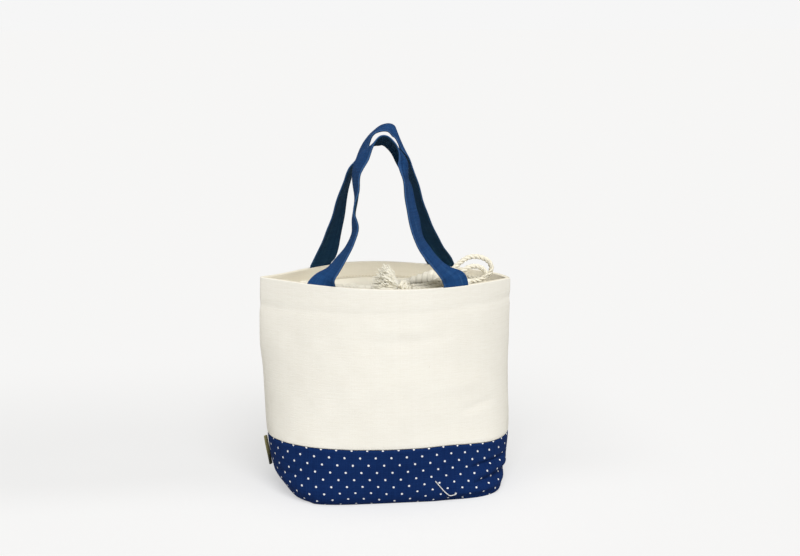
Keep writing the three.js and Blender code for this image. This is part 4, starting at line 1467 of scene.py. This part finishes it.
def strap_section():
    """Across and through for one ring: rounded edges, and two sunk lines of stitching."""
    half, thick = STRAP_WIDTH / 2, STRAP_THICKNESS / 2
    face = np.linspace(-half + thick, half - thick, 29)
    dips = SUNK * bump(np.abs(face), STITCH_LINE, 0.7)
    edge = np.linspace(-math.pi / 2, math.pi / 2, 7)[1:-1]
    upper = [(w, thick - d) for w, d in zip(face, dips)]
    right = [(half - thick + thick * math.cos(a), -thick * math.sin(a)) for a in edge]
    lower = [(w, -thick + d) for w, d in zip(face[::-1], dips[::-1])]
    left = [(-half + thick - thick * math.cos(a), thick * math.sin(a)) for a in edge]
    return np.array([*upper, *right, *lower, *left, upper[0]])


SECTION = strap_section()


def tail_rings(name, end, frames):
    """Rings of a sewn strap end, from its cut edge up to the rim, curved as the wall is."""
    rear = name == "rear"
    angles = foot_angles(FEET[name][end], rear, 5)
    middle, across, through = (f[0 if end == 0 else -1] for f in frames)
    wide = wall(angles[-1], RIM, STRAP_INSET) - wall(angles[0], RIM, STRAP_INSET)
    along = 1 if np.dot(wide, across) > 0 else -1
    out = wall(angles[2], RIM, 0) - wall(angles[2], RIM, 5)
    outer = 1 if np.dot(out, through) > 0 else -1
    share = SECTION[:, 0] / STRAP_WIDTH * along + 0.5
    angle = angles[0] + (angles[-1] - angles[0]) * share
    inset = STRAP_INSET + STRAP_THICKNESS / 2 - SECTION[:, 1] * outer
    return [wall(angle, z, inset) for z in np.linspace(RIM - TAIL_DEPTH, RIM - 0.5, TAIL_RINGS)]


# where a strap turns over it is cupped: a place counted along its route, and a depth in millimetres
CUPPED = {"front": [(12.2, 8)], "rear": []}
CUP_REACH = 13
STIFF_LENGTH = 30  # near its feet the strap is held flat, and this far up it waves freely
WAVE_SEED = {"front": 1.0, "rear": 2.4}


def loop_rings(name, frames):
    """Rings of the free loop, with the soft waves and cups of a used strap."""
    middles, across, through = frames
    length = np.concatenate([[0], np.cumsum(np.linalg.norm(np.diff(middles, axis=0), axis=1))])
    free = np.minimum(1, np.minimum(length, length[-1] - length) / STIFF_LENGTH)
    seed = WAVE_SEED[name]
    cup = free * (0.9 * np.sin(length / 21 + seed) + 0.5 * np.sin(length / 9.5 + 2 * seed))
    for place, depth in CUPPED[name]:
        at = length[round((place + 1) * (len(length) - 1) / (len(ROUTES[name]) + 1))]
        cup += depth * bump(length, at, CUP_REACH)
    w, t = SECTION[:, 0], SECTION[:, 1]
    bow = cup[:, None] * ((w / (STRAP_WIDTH / 2)) ** 2 - 0.4)[None, :]
    waves = np.sin(length[:, None] / 4.7 + np.sign(w)[None, :])
    frill = 0.3 * free[:, None] * waves * (np.abs(w) / (STRAP_WIDTH / 2))[None, :] ** 3
    thickness = t[None, :] + bow + frill
    return middles[:, None] + w[None, :, None] * across[:, None] + thickness[..., None] * through[:, None]


# %% Strap pieces with their stitches
def strap_piece(name):
    """The whole strap from tail to tail, and the rings of its loop for the stitches."""
    frames = loop_frames(name)
    loop = loop_rings(name, frames)
    first = tail_rings(name, 0, frames)
    last = tail_rings(name, 1, frames)
    rings = np.array([*first, *loop[2:-2], *last[::-1]])
    lengths = np.linalg.norm(np.diff(rings.mean(axis=1), axis=0), axis=1)
    along = np.concatenate([[0], np.cumsum(lengths)])
    # the inner face is moved along the UV map, where the strap's material paints it in shade
    inner = SECTION[:, 1] * (1 if name == "front" else -1) > 0
    folded = SECTION[:, 0] + INNER_FACE * inner
    uv = np.stack(np.broadcast_arrays(folded[None, :], along[:, None]), axis=-1) * MM
    piece = cloth_piece(f"{name}_strap_handle", [(rings, uv)], navy_canvas)
    return piece, rings[TAIL_RINGS:-TAIL_RINGS]


def strap_stitches(name, rings):
    """Four rows: along both edges of the strap, seen on both of its faces."""
    rows = []
    for side in (1, -1):
        for face in (1, -1):
            here = [k for k, (w, t) in enumerate(SECTION[:-1]) if w * side > 0 and t * face > 0]
            nearest = min(here, key=lambda k: abs(abs(SECTION[k, 0]) - STITCH_LINE))
            rows.append(rings[6:-6, nearest] * MM)
    sizes = {"Spacing": 0.0031, "Stitch_Length": 0.0026, "Thread_Radius": 0.00026}
    lines = line_mesh("stitch_line", rows)
    return grow(f"{name}_strap_stitches", lines, STITCH_ROW, Material=navy_thread, **sizes)


straps = {}
for name in ROUTES:
    strap, loop = strap_piece(name)
    straps[name] = (strap, strap_stitches(name, loop))

# %% [markdown]
# ## Small things: hem stitches, side label, loose thread
#
# The hem inside the rim is sewn down with one row of natural thread. A folded tape is caught in the
# left side seam, bare on both sides. One cut end of white sewing thread hangs on the front of the base.


# %% Hem stitches
def hem_stitches():
    """One row near the lower edge of each facing, just proud of its cloth."""
    rows = []
    for start, end in HALF.values():
        angles = np.linspace(start + 0.12, end - 0.12, 260)
        rows.append(cloth_wall(angles, RIM - FACING_DEPTH + 2.6, FACING_INSET + CANVAS + 0.06) * MM)
    sizes = {"Spacing": 0.0034, "Stitch_Length": 0.0027, "Thread_Radius": 0.00024}
    lines = line_mesh("hem_line", rows)
    return grow("rim_hem_stitches", lines, STITCH_ROW, Material=natural_thread, **sizes)


hem_seam = hem_stitches()

# %% Side label
LABEL_HEIGHT, LABEL_REACH, LABEL_THICKNESS = 28, 4.2, 0.5
LABEL_TOP = BAND - 2.6
LABEL_LEAN = math.radians(236)


def label_section():
    """A tape folded in two, from the seam out to the fold and back: reach and offset sideways."""
    half = LABEL_THICKNESS * 1.5
    reach = LABEL_REACH - half
    bend = np.linspace(-math.pi / 2, math.pi / 2, 9)
    straight = np.linspace(0, reach, 8)[:-1]

    def fold(radius):
        out = [(r, -radius) for r in straight]
        turn = [(reach + radius * math.cos(a), radius * math.sin(a)) for a in bend]
        return out + turn + [(r, radius) for r in straight[::-1]]

    section = np.array(fold(half) + fold(half - LABEL_THICKNESS)[::-1])
    return np.vstack([section, section[:1]])


def side_label():
    """The label, the place of its root and the direction that it points in."""
    section = label_section()
    half = LABEL_THICKNESS * 1.5
    root, low = (wall(math.pi, LABEL_TOP - drop, -0.6 - half) for drop in (0, LABEL_HEIGHT))
    outward = np.array([math.cos(LABEL_LEAN), math.sin(LABEL_LEAN), 0])
    sideways = np.array([-outward[1], outward[0], 0])
    rows = []
    for share in np.linspace(0, 1, 24):
        wave = 0.25 * math.sin(5 * share + 1)
        base = low + (root - low) * share
        curl = wave * (section[:, :1] / LABEL_REACH) ** 2
        rows.append(base + section[:, :1] * outward + (section[:, 1:] + curl) * sideways)
    along = np.concatenate([[0], np.cumsum(np.linalg.norm(np.diff(section, axis=0), axis=1))])
    up = np.linspace(0, LABEL_HEIGHT, len(rows))
    uv = np.stack(np.broadcast_arrays(along[None, :], up[:, None]), axis=-1) * MM
    piece = cloth_piece("side_label_tape", [(np.array(rows), uv)], label_tape)
    return piece, root, outward


label, label_root, label_outward = side_label()


# %% Loose thread on the base
def front_place(x, z, proud):
    """A point on the front of the bag at x and height z, standing proud by some millimetres."""
    angles = np.linspace(1.02 * math.pi, 1.98 * math.pi, 900)
    line = cloth_wall(angles, float(z), -proud)
    return line[np.argmin(np.abs(line[:, 0] - x))]


THREAD_PLACES = [
    (36, 21, 0.4),
    (40, 16.4, 1.0),
    (44, 11.8, 1.3),
    (47.5, 8, 1.3),
    (49.6, 6.6, 1.2),
    (52, 6.5, 1.0),
    (55.5, 7.4, 0.7),
]
thread_line = smooth_line([front_place(*place) for place in THREAD_PLACES], np.linspace(0, 1, 70)) * MM
loose_thread = grow(
    "loose_white_thread",
    line_mesh("loose_thread", [thread_line]),
    LAID_ROPE,
    Plies=2,
    Ply_Radius=0.00032,
    Lay_Radius=0.00022,
    Lay_Length=0.0016,
    Step=0.0002,
    Sides=6,
    Material=white_thread,
)

# %% [markdown]
# ## Which piece moves with which body
#
# Everything sewn to the bag rides on it. The straps and the label are not attached to a body: they stay
# where they are built, and the CAD parts that they replace are hidden.

# %% Riding and replacing
still = [
    (panels["front"], "natural_canvas", ["front_body_panel"]),
    (panels["back"], "natural_canvas", ["back_body_panel"]),
    (wrap, "dotted_canvas", ["dotted_base_wrap"]),
    (facings["front"], "natural_canvas", ["front_rim_facing"]),
    (facings["back"], "natural_canvas", ["back_rim_facing"]),
    (linings["front"], "cotton", ["front_lining"]),
    (linings["back"], "cotton", ["back_lining"]),
    (floor_cloth, "cotton", ["lining_floor"]),
    (collars["front"], "cotton", ["front_collar"]),
    (collars["back"], "cotton", ["back_collar"]),
    (casing_rope, "rope", ["drawstring_in_casing"]),
    (upper_strand, "rope", ["drawstring_upper_strand"]),
    (lower_strand, "rope", ["drawstring_lower_strand"]),
    (knot, "rope", ["drawstring_knot"]),
    (tuft_yarns, "rope", ["drawstring_tuft"]),
    (tuft_fibres, "rope", []),
    (hem_seam, "cotton", []),
    (loose_thread, "cotton", []),
]
for piece, slot, nodes in still:
    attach(piece, "bag")
    if nodes:
        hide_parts(*nodes)

for name, (strap, stitches) in straps.items():
    for piece in (strap, stitches):
        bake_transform(piece)
    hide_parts(f"{name}_handle", f"{name}_handle_left_tail", f"{name}_handle_right_tail")

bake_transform(label)
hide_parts("side_label")
print("still pieces:", len(still))

# %% Cords and sheets
print("cords: 2, sheets:", len(collars))

# %% [markdown]
# ## Floor and light
#
# The bag stands on white paper in soft light. A broad lamp from the upper front gives the straps their
# bright outer faces and leaves the inside of the bag in shade. The paper is seen near its own plain
# colour, with a part of the bag's shadow on it, and a faint grey shadow is painted on it behind the
# bag, as it is in the picture.


# %% Rays that show a surface to the camera
def shown_rays(add):
    """One where the camera sees a surface, straight on or in a mirror or glass, and else zero."""
    paths = add("ShaderNodeLightPath").outputs
    reflected = add.math("MAXIMUM", paths["Is Glossy Ray"], paths["Is Transmission Ray"])
    return add.math("MAXIMUM", paths["Is Camera Ray"], reflected)


# %% Stage
PAPER = (0.915, 0.92, 0.937, 1)
# the colour of the shadow painted on the paper
PAPER_SHADE = (0.845, 0.85, 0.865, 1)
PAPER_SHADOW = 0.45  # how far the bag's shadow and the lamp change the paper
BOUNCE = (0.55, 0.55, 0.55, 1)  # what the paper sends on to the bag
# painted shadow: the paper is painted greyer between these, behind and beside the bag
SHADE_FROM_Y, SHADE_TO_Y = (-0.06, 0.05), (0.12, 0.5)  # the paper is greyer between these, in metres
SHADE_TO_X = (0.14, 0.34)
FLOOR_HALF = 40


def floor_material():
    """Paper that is seen at its plain colour with a faint shadow and a grey shadow painted behind the bag,
    and sends less light on to the bag.
    """
    material, add, shader = new_material("studio_paper")
    place = add("ShaderNodeTexCoord").outputs["Object"]
    parts = add("ShaderNodeSeparateXYZ", {0: place})
    near = add.ramp(parts.outputs["Y"], *SHADE_FROM_Y)
    far = add.ramp(parts.outputs["Y"], *SHADE_TO_Y, 1.0, 0.0)
    right = add.ramp(parts.outputs["X"], *SHADE_TO_X, 1.0, 0.0)
    # painted shadow behind the bag, a little mottled
    painted_shadow = add.math("MULTIPLY", add.math("MULTIPLY", near, far), right)
    speckle = add("ShaderNodeTexNoise", {"Vector": place, "Scale": 9.0, "Detail": 2.0})
    amount = add.math("MULTIPLY", painted_shadow, add.math("MULTIPLY_ADD", speckle.outputs[0], 0.2, 0.8))
    shown = add.mix(amount, PAPER, PAPER_SHADE)
    shader.inputs["Base Color"].default_value = BOUNCE
    shader.inputs["Roughness"].default_value = 0.9
    plain = add("ShaderNodeEmission", {"Color": shown, "Strength": 1.0})
    lit = add("ShaderNodeBsdfDiffuse", {"Color": shown})
    paper = add("ShaderNodeMixShader", {0: PAPER_SHADOW, 1: plain, 2: lit})
    both = add("ShaderNodeMixShader", {0: shown_rays(add), 1: shader.outputs[0], 2: paper})
    add.join(both, material.node_tree.nodes["Material Output"].inputs["Surface"])
    return material


floor_mesh = bpy.data.meshes.new("floor")
corners = [(x * FLOOR_HALF, y * FLOOR_HALF, 0) for x, y in ((-1, -1), (1, -1), (1, 1), (-1, 1))]
floor_mesh.from_pydata(corners, [], [(0, 1, 2, 3)])
floor = bpy.data.objects.new("floor", floor_mesh)
bpy.context.collection.objects.link(floor)
floor_mesh.materials.append(floor_material())
print("paper floor, m:", 2 * FLOOR_HALF, "a side")


# %% Lamps and world
ROOM_LIGHT, ROOM_STRENGTH = colour(255, 249, 232), 0.42
BACKDROP = colour(246, 246, 246)


def lamp(name, azimuth, elevation, share, spread):
    """A broad far lamp. Share is how much of full light it gives to a surface that faces it."""
    light = bpy.data.lights.new(name, "SUN")
    light.energy = share * math.pi
    light.angle = math.radians(spread)
    made = bpy.data.objects.new(name, light)
    made.rotation_euler = (math.radians(90 - elevation), 0, math.radians(azimuth))
    bpy.context.collection.objects.link(made)


def room():
    """A warm room lights the bag, and a pale backdrop is seen behind it."""
    world = bpy.data.worlds.new("studio")
    world.use_nodes = True
    add = Wiring(world.node_tree)
    warm = add("ShaderNodeBackground", {"Color": ROOM_LIGHT, "Strength": ROOM_STRENGTH})
    backdrop = add("ShaderNodeBackground", {"Color": BACKDROP, "Strength": 1.0})
    both = add("ShaderNodeMixShader", {0: shown_rays(add), 1: warm, 2: backdrop})
    add.join(both, world.node_tree.nodes["World Output"].inputs["Surface"])
    return world


lamp("key_softbox", azimuth=1, elevation=49, share=0.8, spread=40)
bpy.context.scene.world = room()
bpy.context.scene.view_settings.view_transform = "Standard"
print("lamps:", [light.name for light in bpy.data.lights])
